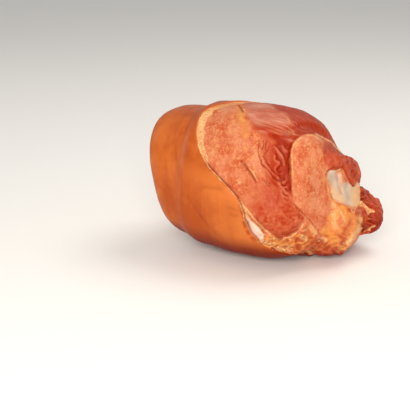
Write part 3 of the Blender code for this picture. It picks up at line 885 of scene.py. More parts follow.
def cured_flesh():
    made, tree, place, amount = start_finish(
        "cured_flesh", ("raw", "gold", "pale", "white", "dark", "streaky", "film"), MEAT_NOISES
    )

    # threads of fat along the edges of bent cells, and streaks along the muscle's grain
    bend = add(
        tree, "ShaderNodeTexNoise", Vector=place, Scale=1 / (THREAD_BEND * MM), Detail=3.0
    ).outputs["Color"]
    bent = add(tree, "ShaderNodeMix", {"data_type": "VECTOR"}, n0=0.012, n4=place, n5=bend).outputs[1]
    cells = add(
        tree, "ShaderNodeTexVoronoi", {"feature": "DISTANCE_TO_EDGE"}, Vector=bent,
        Scale=1 / (THREAD_CELL * MM),
    ).outputs[0]
    grain = add(tree, "ShaderNodeAttribute", {"attribute_name": "grain"}).outputs["Vector"]
    along = add(tree, "ShaderNodeMapping", Vector=grain, Scale=[1 / (size * MM) for size in FIBRE]).outputs[0]
    streak = add(
        tree, "ShaderNodeTexNoise", Vector=along, Scale=1.0, Detail=3.0, Roughness=0.6
    ).outputs["Fac"]

    # how much of each tone: what it is read from, where it starts, where it is full, and its strength
    share = {
        name: add(
            tree, "ShaderNodeMapRange", Value=source, From_Min=start, From_Max=full, To_Max=strength
        ).outputs[0]
        for name, source, start, full, strength in (
            ("deep_meat", amount.blotch, 0.36, 0.64, 1.0),
            ("specks", amount.speck, 0.50, 0.70, 0.6),
            ("glints", amount.fine, 0.54, 0.68, 0.36),
            ("thread", cells, 0.05, 0.0, 0.65),
            ("broken", amount.speck, 0.44, 0.60, 1.0),
            ("sheen", streak, 0.48, 0.70, 0.6),
            ("deep_streak", streak, 0.50, 0.36, 0.6),
            ("dark_red", amount.raw, 0.7, 1.3, 1.0),
            ("yellow", amount.blotch, 0.38, 0.62, 1.0),
            ("crack", amount.fine, 0.50, 0.36, 0.7),
        )
    }
    for name, limit in (
        ("thread", share["broken"]), ("sheen", amount.streaky), ("deep_streak", amount.streaky),
    ):
        share[name] = add(tree, "ShaderNodeMath", TIMES, n0=share[name], n1=limit).outputs[0]
    sheen = add(
        tree, "ShaderNodeMath", {**TIMES_PLUS, "use_clamp": True}, n0=amount.film, n1=0.62, n2=share["sheen"]
    ).outputs[0]

    # raw muscle and each fat have a broken edge
    patchy_gold = add(tree, "ShaderNodeMath", TIMES_PLUS, n0=amount.blotch, n1=0.9, n2=amount.gold).outputs[0]
    for name, source, start, full in (
        ("raw", amount.raw, 0.25, 1.1), ("gold", patchy_gold, 0.85, 1.5), ("pale", amount.pale, 0.42, 1.0),
    ):
        edged = add(tree, "ShaderNodeMath", TIMES_PLUS, n0=amount.speck, n1=0.5, n2=source).outputs[0]
        share[name] = add(tree, "ShaderNodeMapRange", Value=edged, From_Min=start, From_Max=full).outputs[0]

    # each finish as a first tone, then the tones laid over it and how much of each
    tone = {}
    for name, first, layers in (
        ("muscle", MUSCLE_RED, (
            (share["dark_red"], MUSCLE_DARK), (share["deep_streak"], MUSCLE_DARK), (sheen, MUSCLE_SHEEN),
        )),
        ("fat", FAT_ORANGE, ((share["yellow"], FAT_YELLOW),)),
        ("clean", FAT_CREAM, ((amount.white, FAT_WHITE),)),
        ("stained", "clean", ((share["specks"], FAT_YELLOW), (share["crack"], FAT_ORANGE))),
        ("cream", "stained", ((amount.white, "clean"),)),
        ("meat", MEAT_LIGHT, (
            (share["deep_meat"], MEAT_DEEP), (share["specks"], MEAT_FLECK), (share["glints"], FAT_CREAM),
            (share["thread"], FAT_YELLOW), (share["raw"], "muscle"), (share["gold"], "fat"),
            (share["pale"], "cream"), (amount.dark, CREASE_SHADE_BROWN),
        )),
    ):
        tone[name] = tone.get(first, first)
        for part, over in layers:
            mixed = add(tree, "ShaderNodeMix", MIXED, n0=part, n6=tone[name], n7=tone.get(over, over))
            tone[name] = mixed.outputs[MIX_RESULT]

    # moist surface: the fine tooth of cut fibres under a broken shine, dull in creases and on dark muscle
    height = add(tree, "ShaderNodeMath", TIMES_PLUS, n0=streak, n1=amount.streaky, n2=amount.tooth).outputs[0]
    bump = add(tree, "ShaderNodeBump", Strength=0.6, Distance=0.5 * MM, Height=height).outputs[0]
    rough = add(
        tree, "ShaderNodeMapRange", Value=amount.speck, From_Min=0.35, From_Max=0.65, To_Min=0.28, To_Max=0.48
    ).outputs[0]
    shine = add(tree, "ShaderNodeMapRange", Value=amount.dark, To_Min=0.22, To_Max=0.03).outputs[0]
    dull = add(
        tree, "ShaderNodeMapRange", Value=amount.raw, From_Min=0.8, From_Max=1.3, To_Min=1.0, To_Max=0.4
    ).outputs[0]
    shine = add(tree, "ShaderNodeMath", TIMES, n0=shine, n1=dull).outputs[0]
    shader = add(
        tree, "ShaderNodeBsdfPrincipled", Base_Color=tone["meat"], Roughness=rough, Normal=bump,
        Specular_IOR_Level=shine, IOR=1.4, Subsurface_Weight=0.12, Subsurface_Radius=(1.0, 0.35, 0.2),
        Subsurface_Scale=3 * MM,
    )
    add(tree, "ShaderNodeOutputMaterial", Surface=shader.outputs[0])
    return made


def keep_grain(piece, grain):
    """Keeps where each vertex lies by the muscle's grain, in metres, for the streaks to follow."""
    attribute = piece.data.attributes.new("grain", "FLOAT_VECTOR", "POINT")
    attribute.data.foreach_set("vector", (grain * MM).astype(np.float32).ravel())


def keep_marks(piece, points, kind):
    """The amount of each finish on the bare meat, for its material."""
    across, up, face, high = kind.across, kind.up, kind.face, points[:, 2]
    off_flap = 1 - kind.flap
    off_hollow = 1 - kind.hollow
    blur = 2.5 * swell(points, 5.0, 50)
    in_window = inside(across, up, BONE_WINDOW)
    gap_to_step, _ = beside(across, up, STEP)
    right_muscle = ramp(beside(across, up, MUSCLE_BOUNDARY)[0], -2, 4) * face
    rim = kind.rim * (0.8 + 0.35 * swell(points, 3.8, 23))

    # painted shade: the foot of the cut redder and darker where it faces down, near the floor and towards its
    # right end
    floor_shade = ramp(high, 16, 6)
    facing_down_shade = ramp(-normals_of(piece)[:, 2] + 0.15 * swell(points, 6.0, 63), 0.3, 0.75)
    low_edge = 0.7 * ramp(across - 1.5 * np.minimum(up + 54, 0), 35, 44)
    foot_shade = kind.bottom_fat * np.maximum(facing_down_shade * ramp(across, 12, 30), low_edge)

    # the torn fat under the bone: scraps of red and of pale, and red streaks
    torn = kind.right_fat * ramp(up, -36, -26)
    ragged = 1.1 * swell(points, 3.2, 66)
    red_streaks = strokes(across + 0.6 * blur + ragged, up - ragged, RED_STREAKS, 3.0, 0.72) * face
    red_streaks = np.clip(red_streaks + 0.8 * torn * patchy(points, 3.4, 64, 0.0, 0.5), 0, 1.1)

    scraps = kind.bottom_fat * kind.flakes * patchy(points, 8.0, 24, -0.5, 0.5)
    pale = most(
        rim * (1 - 0.5 * ramp(kind.turn, 24, 4)),
        pale_lines(points, kind),
        kind.white,
        (0.7 + 0.3 * swell(points, 3.0, 35)) * kind.pale_strand,
        0.36 * scraps * (1 - foot_shade) * (1 - floor_shade),
        0.6 * torn * patchy(points, 3.0, 65, 0.1, 0.6),
    )

    gold = most(
        stroke(across + blur, up, GOLD_BAND, 4.0, 0.6, 0.15) * face,
        0.9 * rim * ramp(kind.turn, 28, 8) * ramp(kind.turn, -60, -30),
        (0.55 + 0.3 * swell(points, 9.0, 25)) * kind.right_fat,
        (0.5 + 0.3 * kind.flakes) * kind.bottom_fat * (1 - kind.round),
    )
    beside_bone = hump(in_window, -1.0, 0.9) * ramp(up, 2, -4) * ramp(across, 80, 76)
    gold = gold * (1 - 0.75 * np.clip(red_streaks, 0, 1))
    gold = np.maximum(gold, 0.9 * beside_bone * face * (1 - kind.red_strand))
    gold = gold * (1 - 0.7 * floor_shade) * (1 - 0.5 * foot_shade)
    gold += strokes(across, up, ORANGE_STREAKS, 4.0, 0.7) * face

    round_tone = 0.62 + swells(points, (0.2, 3.6, 26), (0.25, 1.9, 32))
    raw = (0.75 + 0.25 * right_muscle) * kind.top * (1 - 0.3 * kind.hollow) + 1.05 * kind.hollow
    raw = np.maximum(raw, round_tone * kind.round) * off_flap
    raw = raw * (1 - 0.35 * kind.hollow * patchy(points, 5.0, 27, 0.0, 0.7))
    # painted shade and highlight: redder down in the hollow's folds, lighter on their lips
    raw = raw * (1 + strokes(across, up, HOLLOW_FOLDS, 0.9, 0.5, lip=1.0) * face)
    raw = most(
        raw,
        0.55 * kind.bottom_fat * (1 - kind.flakes),
        0.95 * floor_shade,
        (0.75 + 0.2 * swell(points, 4.0, 59)) * foot_shade,
    )
    raw += red_streaks
    # painted shade: deeper red in the crevice at the foot of the step
    raw += 0.45 * hump(gap_to_step, 0.6, 1.2) * ramp(up, -22, -10) * face
    raw += 0.4 * hump(across, 8, 20) * hump(up, -11, 15) * face * off_flap
    lump_tone = 0.85 + 0.45 * ramp(high, 44, 26) + 0.2 * swell(points, 6.0, 54)
    raw = most(raw, lump_tone * kind.lump, 0.78 * most(kind.folds, kind.dark_flap, kind.red_strand))

    # thin skin over the muscle, and painted highlights on the lips of the folds
    film = kind.top * ramp(inside(across, up, TOP_MUSCLE), -3, 3) * (1 - right_muscle) * off_flap * off_hollow
    film = film * face * ramp(up + 0.4 * blur, 39, 47) * (0.4 + 0.6 * patchy(points, 14.0, 28, -0.9, 0.5))
    film += 0.45 * kind.dark_flap * ramp(fibred(across, up, 0.3, (1.6, 9.0), 55), -0.3, 0.9)
    glints = strokes(kind.crooked + 1.1, up, HOLLOW_FOLDS, 0.5, 0.45, 0.25) * face
    film += glints * patchy(points, 3.0, 56, -0.5, 0.3)

    # painted shade: darker in creases and valleys, at the hollow's right side, near the floor, on the lump's
    # lower part and at the bottom of the cut
    dark = 0.8 * crease_lines(points, kind) + 0.25 * ramp(valleys(piece, 2), 0.02, 0.30)
    dark += 0.15 * ramp(valleys(piece, 10), 0.15, 1.2) * (1 - kind.white)
    dark += 0.12 * kind.hollow * ramp(across, 18, 28) + 0.4 * ramp(high, 12, 3)
    dark += 0.7 * kind.lump * ramp(high, 40, 26) + 0.13 * kind.bottom_fat * ramp(up, -46, -56)
    near_bone = 0.9 * ramp(in_window, -3.5, -2.0) * face
    step_edge = 0.8 * hump(gap_to_step, 0, 2.5) * face
    shown = most(0.7 * kind.red_strand, near_bone, step_edge, 0.6 * kind.folds, 0.5 * kind.lump)

    loose = strokes(across, up, CRUMB_LINES, 2.6, 1.0, 0.1) * face * ramp(high, 3, 5)
    keep(
        piece,
        raw=np.clip(raw, 0, 1.3) * (1 - np.clip(pale, 0, 1)),
        film=film,
        streaky=np.maximum(kind.top, 0.2 * kind.lump) * (1 - 0.45 * right_muscle) * off_flap * off_hollow,
        gold=np.clip(gold, 0, 1),
        pale=pale,
        white=kind.white,
        crumbs=np.clip(loose * (1 - kind.lump) * (1 - kind.round), 0, 1),
        dark=np.clip(dark, 0, 0.9) * (1 - shown),
    )
    keep_grain(piece, grain_of(points))


def on_floor(points):
    """Nothing sinks below the surface that the meat rests on."""
    return np.column_stack([points[:, :2], np.maximum(points[:, 2], 0)])


def build_meat():
    """The bare meat of the wide end, which runs on a little under the rind."""
    piece = joined([block_object(block) for block in MUSCLES])
    remesh(piece, MEAT_VOXELS[0])
    settle(piece, bare_meat, 2)
    piece = joined([piece] + [strand_object(strand) for strand in RED_STRANDS + PALE_STRANDS])
    remesh(piece, MEAT_VOXELS[1])
    past, _ = past_rind(coordinates(piece))
    cut_away(piece, past > -MEAT_UNDER_RIND, None)
    settle(piece, bare_meat, 3)
    points = coordinates(piece)
    kind = zones_of(points)
    set_coordinates(piece, on_floor(points + fine_relief(points, kind)[:, None] * normals_of(piece)))
    keep_marks(piece, points, kind)
    cut_away(piece, np.ones(len(points), bool), SHANK_CORE)
    return piece


cured_meat = build_meat()
finish(cured_meat, "cured_meat", cured_flesh())
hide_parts("knuckle")


# Torn crumbs of fat that cling along the ragged foot of the cut: flat, lumpy grains of two to three
# millimetres, scattered over the meat's own surface by how loose it is there.
CRUMB_SMALL = (0.9, 0.6, 0.4)
CRUMB_LARGE = (3.0, 1.6, 0.8)
CRUMB_SPACING = 3.2
CRUMBS_PER_AREA = 120000.0
CRUMB_SEED = 4

# The most that a grain turns each way, in radians, and how wide and how high its bumps are
CRUMB_TURN = (0.3, 0.3, 0.5)
CRUMB_BUMP = 1.6
CRUMB_PUSH = 1.0


def crumb_tree():
    """Scatters lumpy grains over a surface by its "crumbs" attribute, and keeps how pale each one is."""
    tree = bpy.data.node_groups.new("scattered_crumbs", "GeometryNodeTree")
    for name, kind, way in (
        ("Surface", "Geometry", "INPUT"),
        ("Spacing", "Float", "INPUT"),
        ("Density", "Float", "INPUT"),
        ("Seed", "Int", "INPUT"),
        ("Finish", "Material", "INPUT"),
        ("Crumbs", "Geometry", "OUTPUT"),
    ):
        tree.interface.new_socket(name, in_out=way, socket_type="NodeSocket" + kind)
    given = tree.nodes.new("NodeGroupInput").outputs
    number, vector = {"data_type": "FLOAT"}, {"data_type": "FLOAT_VECTOR"}
    loose = add(tree, "GeometryNodeInputNamedAttribute", number, Name="crumbs").outputs["Attribute"]
    spots = add(
        tree, "GeometryNodeDistributePointsOnFaces", {"distribute_method": "POISSON"}, Mesh=given["Surface"],
        Distance_Min=given["Spacing"], Density_Max=given["Density"], Density_Factor=loose, Seed=given["Seed"],
    ).outputs
    turn, size = (
        add(tree, "FunctionNodeRandomValue", vector, Min=least, Max=greatest, Seed=seed).outputs[0]
        for least, greatest, seed in (
            ([-part for part in CRUMB_TURN], CRUMB_TURN, 1),
            ([part * MM for part in CRUMB_SMALL], [part * MM for part in CRUMB_LARGE], 2),
        )
    )
    turned = add(
        tree, "FunctionNodeRotateRotation", {"rotation_space": "LOCAL"}, Rotation=spots["Rotation"],
        Rotate_By=turn,
    ).outputs[0]
    grain = add(tree, "GeometryNodeMeshIcoSphere", Radius=1.0, Subdivisions=3).outputs["Mesh"]
    placed = add(
        tree, "GeometryNodeInstanceOnPoints", Points=spots["Points"], Instance=grain, Rotation=turned,
        Scale=size,
    ).outputs[0]
    paleness = add(tree, "FunctionNodeRandomValue", number, n2=0.35, n3=1.0, n8=3).outputs[1]
    stored = add(
        tree, "GeometryNodeStoreNamedAttribute", {**number, "domain": "INSTANCE"}, Geometry=placed,
        Name="pale", Value=paleness,
    ).outputs[0]
    real = add(tree, "GeometryNodeRealizeInstances", Geometry=stored).outputs[0]
    bumps = add(tree, "ShaderNodeTexNoise", Scale=1 / (CRUMB_BUMP * MM), Detail=2.0).outputs["Color"]
    push = add(
        tree, "ShaderNodeVectorMath", TIMES_PLUS, n0=bumps, n1=[2 * CRUMB_PUSH * MM] * 3,
        n2=[-CRUMB_PUSH * MM] * 3,
    ).outputs[0]
    lumpy = add(tree, "GeometryNodeSetPosition", Geometry=real, Offset=push).outputs[0]
    done = add(tree, "GeometryNodeSetMaterial", Geometry=lumpy, Material=given["Finish"]).outputs[0]
    end = tree.nodes.new("NodeGroupOutput")
    tree.links.new(done, end.inputs[0])
    return tree


def scatter_crumbs(surface, finish_of_crumbs):
    crumbs = bpy.data.objects.new("fat_crumbs", surface.data.copy())
    bpy.context.scene.collection.objects.link(crumbs)
    modifier = crumbs.modifiers.new("scatter", "NODES")
    modifier.node_group = crumb_tree()
    values = {
        "Spacing": CRUMB_SPACING * MM,
        "Density": CRUMBS_PER_AREA,
        "Seed": CRUMB_SEED,
        "Finish": finish_of_crumbs,
    }
    for socket in modifier.node_group.interface.items_tree:
        if socket.name in values:
            modifier[socket.identifier] = values[socket.name]
    apply_modifiers(crumbs)
    return crumbs


fat_crumbs = scatter_crumbs(cured_meat, bpy.data.materials["cured_flesh"])
fat_crumbs.data.name = "fat_crumbs"
fat_crumbs.data.shade_smooth()
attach(fat_crumbs, "root")


# The rind: skin scalded, then dried and glazed amber by smoke. It is smooth and glossy, with fine
# wrinkles round the shank, and painted shade makes it redder and darker low down, where it turns to the
# floor. Its piece takes in the narrow end, where the skin, the fat under it and the meat round the bone
# show in rings.
RIND_VOXELS = (2.0, 1.05)
RIND_TUCK = 2.2
SKIN_WRINKLE = np.array([2.6, 26.0, 26.0])
RIND_BRIGHT = srgb("#c36325")
RIND_BOUNCE_GOLD = srgb("#d97a36")
RIND_AMBER = srgb("#aa4910")
RIND_SHADE_RED = srgb("#7c1f00")
RIND_SHEEN = srgb("#b0766a")
RIND_EDGE_FAT = srgb("#d98f52")
RIND_NOISES = (("cloud", 32, 3.0, 0.5), ("blot", 9, 3.0, 0.6), ("pore", 1.6, 2.0, 0.5))

# A fine wrinkle's size along the shank, and across it
RIND_STREAK = (3.2, 34, 34)

# Seams of fat in the narrow end's cut, as (Y, Z)
NARROW_SEAMS = (
    ((-12, 73), (-15, 80), (-22, 87), (-24, 96), (-30, 101)), ((-15, 80), (-24, 79), (-31, 73)),
    ((20, 75), (25, 82), (31, 84), (34, 92), (39, 97)), ((2, 50), (6, 43), (3, 36), (8, 29), (8, 22)),
    ((6, 43), (14, 40), (22, 33)), ((22, 60), (30, 56), (38, 58)), ((-14, 58), (-24, 52), (-30, 43)),
)

# Creases of the skin, as (X, turn round the shank in degrees, where a degree is a millimetre)
SKIN_CREASES = (
    ((-22, 84), (-8, 86), (6, 83)), ((4, 96), (14, 99), (22, 97)), ((6, 103), (12, 105), (18, 103)),
    ((-30, 98), (-22, 110), (-12, 121)), ((-25, 103), (-16, 115), (-6, 127)),
    ((-42, 66), (-38, 88), (-37, 106)), ((-4, 58), (4, 64), (8, 73)), ((-50, 50), (-44, 72), (-42, 92)),
    ((-20, -70), (-4, -74), (10, -70)), ((-28, -95), (-16, -108), (-2, -116)),
    ((-10, -40), (4, -46), (12, -44)), ((-48, -60), (-42, -80), (-40, -100)),
    ((8, -92), (20, -98), (30, -96)), ((-18, 20), (-14, 4), (-15, -16)),
)


def smoked_rind():
    marks = ("past", "dark", "bloom", "thin", "low")
    made, tree, place, amount = start_finish("smoked_rind", marks, RIND_NOISES)
    fine = [1 / (size * MM) for size in RIND_STREAK]
    wrapped = add(tree, "ShaderNodeMapping", Vector=place, Scale=fine).outputs[0]
    streak = add(
        tree, "ShaderNodeTexNoise", Vector=wrapped, Scale=1.0, Detail=3.0, Roughness=0.55
    ).outputs["Fac"]
    tone = amount.cloud
    for source, weight in ((streak, 0.28), (amount.blot, 0.4)):
        tone = add(tree, "ShaderNodeMath", TIMES_PLUS, n0=source, n1=weight, n2=tone).outputs[0]
    tone = add(tree, "ShaderNodeMapRange", Value=tone, From_Min=0.64, From_Max=0.98).outputs[0]
    bloom = add(tree, "ShaderNodeMath", TIMES, n0=amount.bloom, n1=streak).outputs[0]
    edge = add(
        tree, "ShaderNodeMapRange", {"interpolation_type": "SMOOTHSTEP"}, Value=amount.past, From_Min=-0.2,
        From_Max=0.6,
    ).outputs[0]
    colour = RIND_BRIGHT
    for part, over in (
        (tone, RIND_AMBER), (bloom, RIND_SHEEN), (amount.thin, RIND_BOUNCE_GOLD), (amount.low, RIND_SHADE_RED),
        (edge, RIND_EDGE_FAT), (amount.dark, CREASE_SHADE_BROWN),
    ):
        colour = add(tree, "ShaderNodeMix", MIXED, n0=part, n6=colour, n7=over).outputs[MIX_RESULT]
    wrinkle = add(tree, "ShaderNodeMath", TIMES_PLUS, n0=amount.pore, n1=0.25, n2=streak).outputs[0]
    bump = add(tree, "ShaderNodeBump", Strength=0.35, Distance=0.5 * MM, Height=wrinkle).outputs[0]
    rough = add(
        tree, "ShaderNodeMapRange", Value=streak, From_Min=0.3, From_Max=0.7, To_Min=0.32, To_Max=0.46
    ).outputs[0]
    shine = add(tree, "ShaderNodeMapRange", Value=amount.low, To_Min=0.2, To_Max=0.03).outputs[0]
    shader = add(
        tree, "ShaderNodeBsdfPrincipled", Base_Color=colour, Roughness=rough, Normal=bump,
        Specular_IOR_Level=shine, IOR=1.45, Subsurface_Weight=0.05, Subsurface_Radius=(1.0, 0.4, 0.2),
        Subsurface_Scale=3 * MM, Coat_Weight=0.06, Coat_Roughness=0.3,
    )
    add(tree, "ShaderNodeOutputMaterial", Surface=shader.outputs[0])
    return made


def rind_marks(piece, points):
    """Wrinkles of the skin, and the finishes of the skin and of the cut narrow end."""
    past, turn = past_rind(points)
    x, y, z = points.T
    reach = narrow_reach(points) ** 0.4
    narrow = ramp(x, -47, -51) * ramp(reach, 0.99, 0.96)
    wander = 1.5 * swell(points, 8.0, 38)
    creases = strokes(x + wander, turn + wander, SKIN_CREASES, 0.9, 0.4, 0.3, lip=0.5)
    skin = swells(points, (0.30, 24.0, 1), (0.07, SKIN_WRINKLE, 2), (0.05, 3.0, 2), (0.12, 10.0, 39)) - 0.35
    rough_cut = swells(points, (0.5, 13.0, 4), (0.25, 4.0, 5), (0.15, 2.0, 6)) - 0.7
    height = (skin - creases) * (1 - narrow) + rough_cut * narrow
    normals = normals_of(piece)
    moved = on_floor(points + height[:, None] * normals)

    # on the skin: painted shade, redder low down and along creases; painted light, a lighter gold on the
    # low sides near the cut edge; and a painted sheen beside the collar
    facing_down_shade = ramp(-normals[:, 2] + 0.1 * swell(points, 18.0, 61), 0.42, 0.85)
    flushed = strokes(x + 0.6 * wander, turn + 2 * wander, SKIN_CREASES, 2.2, 0.16)
    # painted shade: redder where the skin faces down or lies near the floor, and along its creases
    low = np.maximum(facing_down_shade, ramp(z, 34, 10)) + flushed * patchy(points, 7.0, 67, -0.8, 0.4)
    beside_collar = hump(x, -41, 3.5) * ramp(turn, 38, 56) * ramp(turn, 100, 60)
    low_side = ramp(np.abs(turn), 60, 80) * ramp(np.abs(turn), 155, 120)
    joint_shade = hump(mass(points, SLEEVE) - mass(points, COLLAR), 0, 0.7) * ramp(x, -15, -30)
    joint_shade = joint_shade * ramp(turn, 85, 30) * (0.6 + 0.4 * swell(points, 7.0, 53))
    dark_edge = hump(past, -0.6, 0.9) * ramp(turn, 92, 100) * ramp(turn, 136, 122)
    creases = np.clip(creases + 1.6 * dark_edge * patchy(points, 3.0, 60, -0.8, 0.3), 0, 2)

    # on the narrow end's cut: a ring of fat under the skin, seams of fat, and redder meat round the bone
    ring = ramp(reach + swells(points, (0.05, 11.0, 41), (0.015, 4.0, 42)), 0.80, 0.85)
    seams = strokes(y + wander, z + wander, NARROW_SEAMS, 0.9, 0.6) * patchy(points, 5.0, 40, -0.9, 0.1)
    middle_tone = 0.45 + 0.35 * swell(points, 15.0, 45) + 0.4 * ramp(reach, 0.5, 0.36)
    # painted shade in the groove between sleeve and collar and along the skin's creases, and a darker line
    # along the rind's lower edge
    skin_shade = 0.30 * joint_shade + 0.35 * creases
    keep(
        piece,
        past=past,
        low=np.clip(low, 0, 1),
        # a painted sheen along the collar's side
        bloom=0.7 * beside_collar * patchy(points, SKIN_WRINKLE, 52, -0.7, 0.5),
        # painted light thrown up from the floor: gold on the low sides near the cut edge
        thin=0.65 * low_side * ramp(past, -36, -3) * (0.85 + 0.3 * swell(points, 16.0, 48)),
        pale=np.maximum(ring * (0.85 + 0.25 * swell(points, 4.0, 43)), seams) * narrow,
        white=0.3 * ring,
        gold=(0.2 + 0.3 * swell(points, 12.0, 44)) * narrow,
        raw=middle_tone * narrow * (1 - ring),
        dark=np.where(narrow > 0.5, 0.7 * hump(reach, 0.97, 0.02), skin_shade),
    )
    keep_grain(piece, points[:, [1, 2, 0]])
    set_coordinates(piece, moved)
    return narrow


def build_rind():
    piece = joined([block_object(block) for block in MUSCLES])
    remesh(piece, RIND_VOXELS[0])
    settle(piece, rind_over_meat, 2)
    remesh(piece, RIND_VOXELS[1])
    past, _ = past_rind(coordinates(piece))
    cut_away(piece, past < RIND_TUCK, None)
    settle(piece, rind_over_meat, 3)
    narrow = rind_marks(piece, coordinates(piece))
    cut_away(piece, np.ones(len(narrow), bool), SHANK_CORE)
    return piece, narrow


rind, narrow_end = build_rind()
finish(rind, "smoked_rind", smoked_rind())
rind.data.materials.append(bpy.data.materials["cured_flesh"])
for face in rind.data.polygons:
    on_cut = all(corner < len(narrow_end) and narrow_end[corner] > 0.5 for corner in face.vertices)
    face.material_index = 1 if on_cut else 0
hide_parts("knuckle")


# ---- The joint bone ------------------------------------------------------------------------------
# The shank bone, which runs the whole way through: a sawn shaft at the narrow end and a knobbed head
# at the wide end, where its cartilage shows. It stands for the solid "bone".

SHAFT = ((-4, 6, 67), (64, 13, 13.5), (0, 0, 0), (4.0, 2.2))
SAWN_END = ((-60, 5, 67), (18, 16, 15), (0, 0, 0), (3.0, 2.2))
HEAD_NEAR = ((68, 15, 62.5), (26, 27, 27), (0, 12, 0), (2.8, 2.6))
HEAD_FAR = ((62, 34, 56), (18, 16, 20), (0, 0, 0), (2.3, 2.3))
BONE_COVER = 4.5
BONE_MARGIN = 1.3
BONE_SHOWN = 0.5
BONE_VOXELS = (2.0, 1.0)
CONDYLE_GROOVE = ((67, 8), (70, 0), (71, -8), (74, -15))
TISSUE_STRIP = ((68, 6), (72, 3), (74, -2), (75, -6))
MIDDLE_HOLLOW = ((78, 2), (79, -6), (79, -13), (83, -21))
CREAM_RIDGE = ((62, -8), (68, -15), (76, -22))
PINK_CORNER = ((77, 1), (79, -2), (80, -6))
PINK_SEAM = ((74, -5), (72, -11), (76, -18))
MARROW_HALF = 7
GRISTLE_WHITE = srgb("#cbb096")
GRISTLE_GREY = srgb("#ab9180")
BONE_CREAM = srgb("#dba76f")
BONE_PINK = srgb("#ca7a4c")
MARROW = srgb("#8e3b22")
BONE_NOISES = (("cloud", 8, 3.0, 0.5), ("fine", 2, 2.0, 0.5))


def bone(points):
    """Shaft and head, kept under the meat's surface but for the places where the bone shows."""
    shaft = blend(mass(points, SHAFT), mass(points, SAWN_END), 10)
    head = blend(mass(points, HEAD_NEAR), mass(points, HEAD_FAR), 6)
    form = blend(shaft, head, 16)
    cover = BONE_SHOWN + (BONE_COVER - BONE_SHOWN) * (1 - window(points, BONE_MARGIN))
    return -blend(-form, -(masses(points) + cover), 1.5)


def joint_surface():
    """Wet cartilage over bone: smooth, grey-white to cream, with a soft shine and pink at the edges."""
    made, tree, _, amount = start_finish("joint_cartilage", ("cream", "pink", "marrow"), BONE_NOISES)
    spread = add(tree, "ShaderNodeMapRange", Value=amount.cloud, From_Min=0.32, From_Max=0.80).outputs[0]
    stain = add(tree, "ShaderNodeMath", TIMES_PLUS, n0=amount.cloud, n1=0.8, n2=amount.pink).outputs[0]
    stain = add(tree, "ShaderNodeMapRange", Value=stain, From_Min=0.7, From_Max=1.2).outputs[0]
    colour = GRISTLE_WHITE
    for part, over in (
        (spread, GRISTLE_GREY), (amount.cream, BONE_CREAM), (stain, BONE_PINK), (amount.marrow, MARROW),
    ):
        colour = add(tree, "ShaderNodeMix", MIXED, n0=part, n6=colour, n7=over).outputs[MIX_RESULT]
    bump = add(tree, "ShaderNodeBump", Strength=0.15, Distance=0.4 * MM, Height=amount.fine).outputs[0]
    shader = add(
        tree, "ShaderNodeBsdfPrincipled", Base_Color=colour, Roughness=0.35, Normal=bump,
        Subsurface_Weight=0.1, Subsurface_Radius=(1.0, 0.6, 0.4), Subsurface_Scale=2 * MM,
    )
    add(tree, "ShaderNodeOutputMaterial", Surface=shader.outputs[0])
    return made


def build_bone():
    piece = joined([block_object(block) for block in (SHAFT, SAWN_END, HEAD_NEAR, HEAD_FAR)])
    for voxel in BONE_VOXELS:
        remesh(piece, voxel)
        settle(piece, bone, 3)
    points = coordinates(piece)
    x, y, z = points.T
    across, up, out = on_face(points)
    face = ramp(out, *FACE_FADE) * ramp(x, 30, 50)
    height = stroke(across, up, CONDYLE_GROOVE, 1.5, -1.3, 0.1)
    height += stroke(across, up, MIDDLE_HOLLOW, 3.6, -1.4, 0.1)
    height += stroke(across, up, TISSUE_STRIP, 2.6, 1.1, 0.1) + 0.25 * swell(points, 3.0, 30)
    height += 0.35 * ridged(swell(points, 5.0, 51)) * ramp(x, 84, 88)
    set_coordinates(piece, points + (height * face)[:, None] * normals_of(piece))
    rim = ramp(inside(across, up, BONE_WINDOW) + 0.8 * swell(points, 3.0, 46), 3.2, 0.5)
    sawn = ramp(x, -48, -52)
    cream = ramp(across, 81, 86) + stroke(across, up, CREAM_RIDGE, 3.5, 0.6, 0.05) + sawn
    fibrous = 0.8 + 0.4 * fibred(across, up, 0.4, (1.4, 7.0), 62)
    pink = stroke(across, up, TISSUE_STRIP, 3.6, 1.2, 0.1) * fibrous + 0.6 * ramp(up, -20, -26)
    pink += stroke(across, up, PINK_CORNER, 2.0, 0.4, 0.1) + 0.7 * rim
    pink += stroke(across, up, PINK_SEAM, 2.2, 0.5, 0.2)
    _, middle_y, middle_z = SAWN_END[0]
    middle = np.hypot((y - middle_y) / MARROW_HALF, (z - middle_z) / MARROW_HALF)
    middle += 0.2 * swell(points, 3.0, 47)
    keep(
        piece,
        cream=np.clip(cream, 0, 1),
        pink=np.clip(pink, 0, 1) * face,
        marrow=sawn * ramp(middle, 1.1, 0.9),
    )
    return piece


joint_bone = build_bone()
finish(joint_bone, "joint_bone", joint_surface())
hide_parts("bone")


# ---- Studio --------------------------------------------------------------------------------------
# A plain pale floor, soft light from all round and a large soft lamp high on the left.

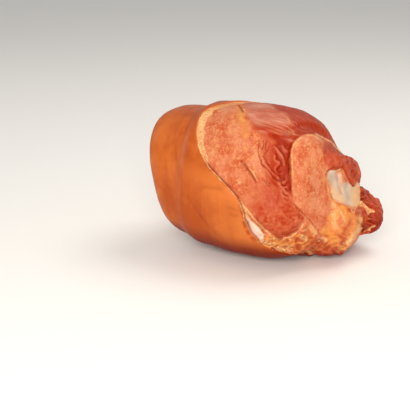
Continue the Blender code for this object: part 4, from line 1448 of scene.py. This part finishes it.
FLOOR_SIZE = 6.0
AIM = np.array([-50.8, -15.1, 37.5]) * MM
CAMERA_TURN = math.radians(28)
CAMERA_RISE = math.radians(19)
CAMERA_DISTANCE = 0.852
LENS = 85.0

bpy.ops.mesh.primitive_plane_add(size=FLOOR_SIZE, location=(0, 0, 0))
floor = bpy.context.object
floor.name = "floor"
paper, tree = new_finish("matt_paper")
sheet = add(tree, "ShaderNodeBsdfPrincipled", Base_Color=srgb("#f4f2ef"), Roughness=0.85)
add(tree, "ShaderNodeOutputMaterial", Surface=sheet.outputs[0])
floor.data.materials.append(paper)

world = bpy.data.worlds.new("soft_room")
bpy.context.scene.world = world
world.use_nodes = True
background = world.node_tree.nodes["Background"]
background.inputs["Color"].default_value = srgb("#fbfaf8")
background.inputs["Strength"].default_value = 0.5


def lamp(name, place, aim, size, power, colour):
    """A square soft box that faces its aim."""
    light = bpy.data.lights.new(name, "AREA")
    light.size = size
    light.energy = power
    light.color = srgb(colour)[:3]
    holder = bpy.data.objects.new(name, light)
    bpy.context.scene.collection.objects.link(holder)
    holder.location = place
    holder.rotation_mode = "QUATERNION"
    away = holder.location - Vector(aim)
    holder.rotation_quaternion = away.to_track_quat("Z", "Y")


lamp("key", (0.4, -1.05, 0.55), (0, 0, 0.06), 0.6, 12.6, "#fffaf2")
lamp("side", (-0.95, -0.1, 0.6), (0, 0, 0.06), 0.6, 0.8, "#fffaf2")
lamp("top", (0.3, 0.4, 1.0), (0, 0, 0.06), 0.6, 4.8, "#fffaf2")

view = bpy.data.cameras.new("view")
view.lens = LENS
view.sensor_width = 36.0
camera = bpy.data.objects.new("view", view)
bpy.context.scene.collection.objects.link(camera)
camera.location = AIM + CAMERA_DISTANCE * np.array(
    [
        math.sin(CAMERA_TURN) * math.cos(CAMERA_RISE),
        -math.cos(CAMERA_TURN) * math.cos(CAMERA_RISE),
        math.sin(CAMERA_RISE),
    ]
)
camera.rotation_euler = (math.pi / 2 - CAMERA_RISE, 0, CAMERA_TURN)
bpy.context.scene.camera = camera
bpy.context.scene.view_settings.view_transform = "Standard"
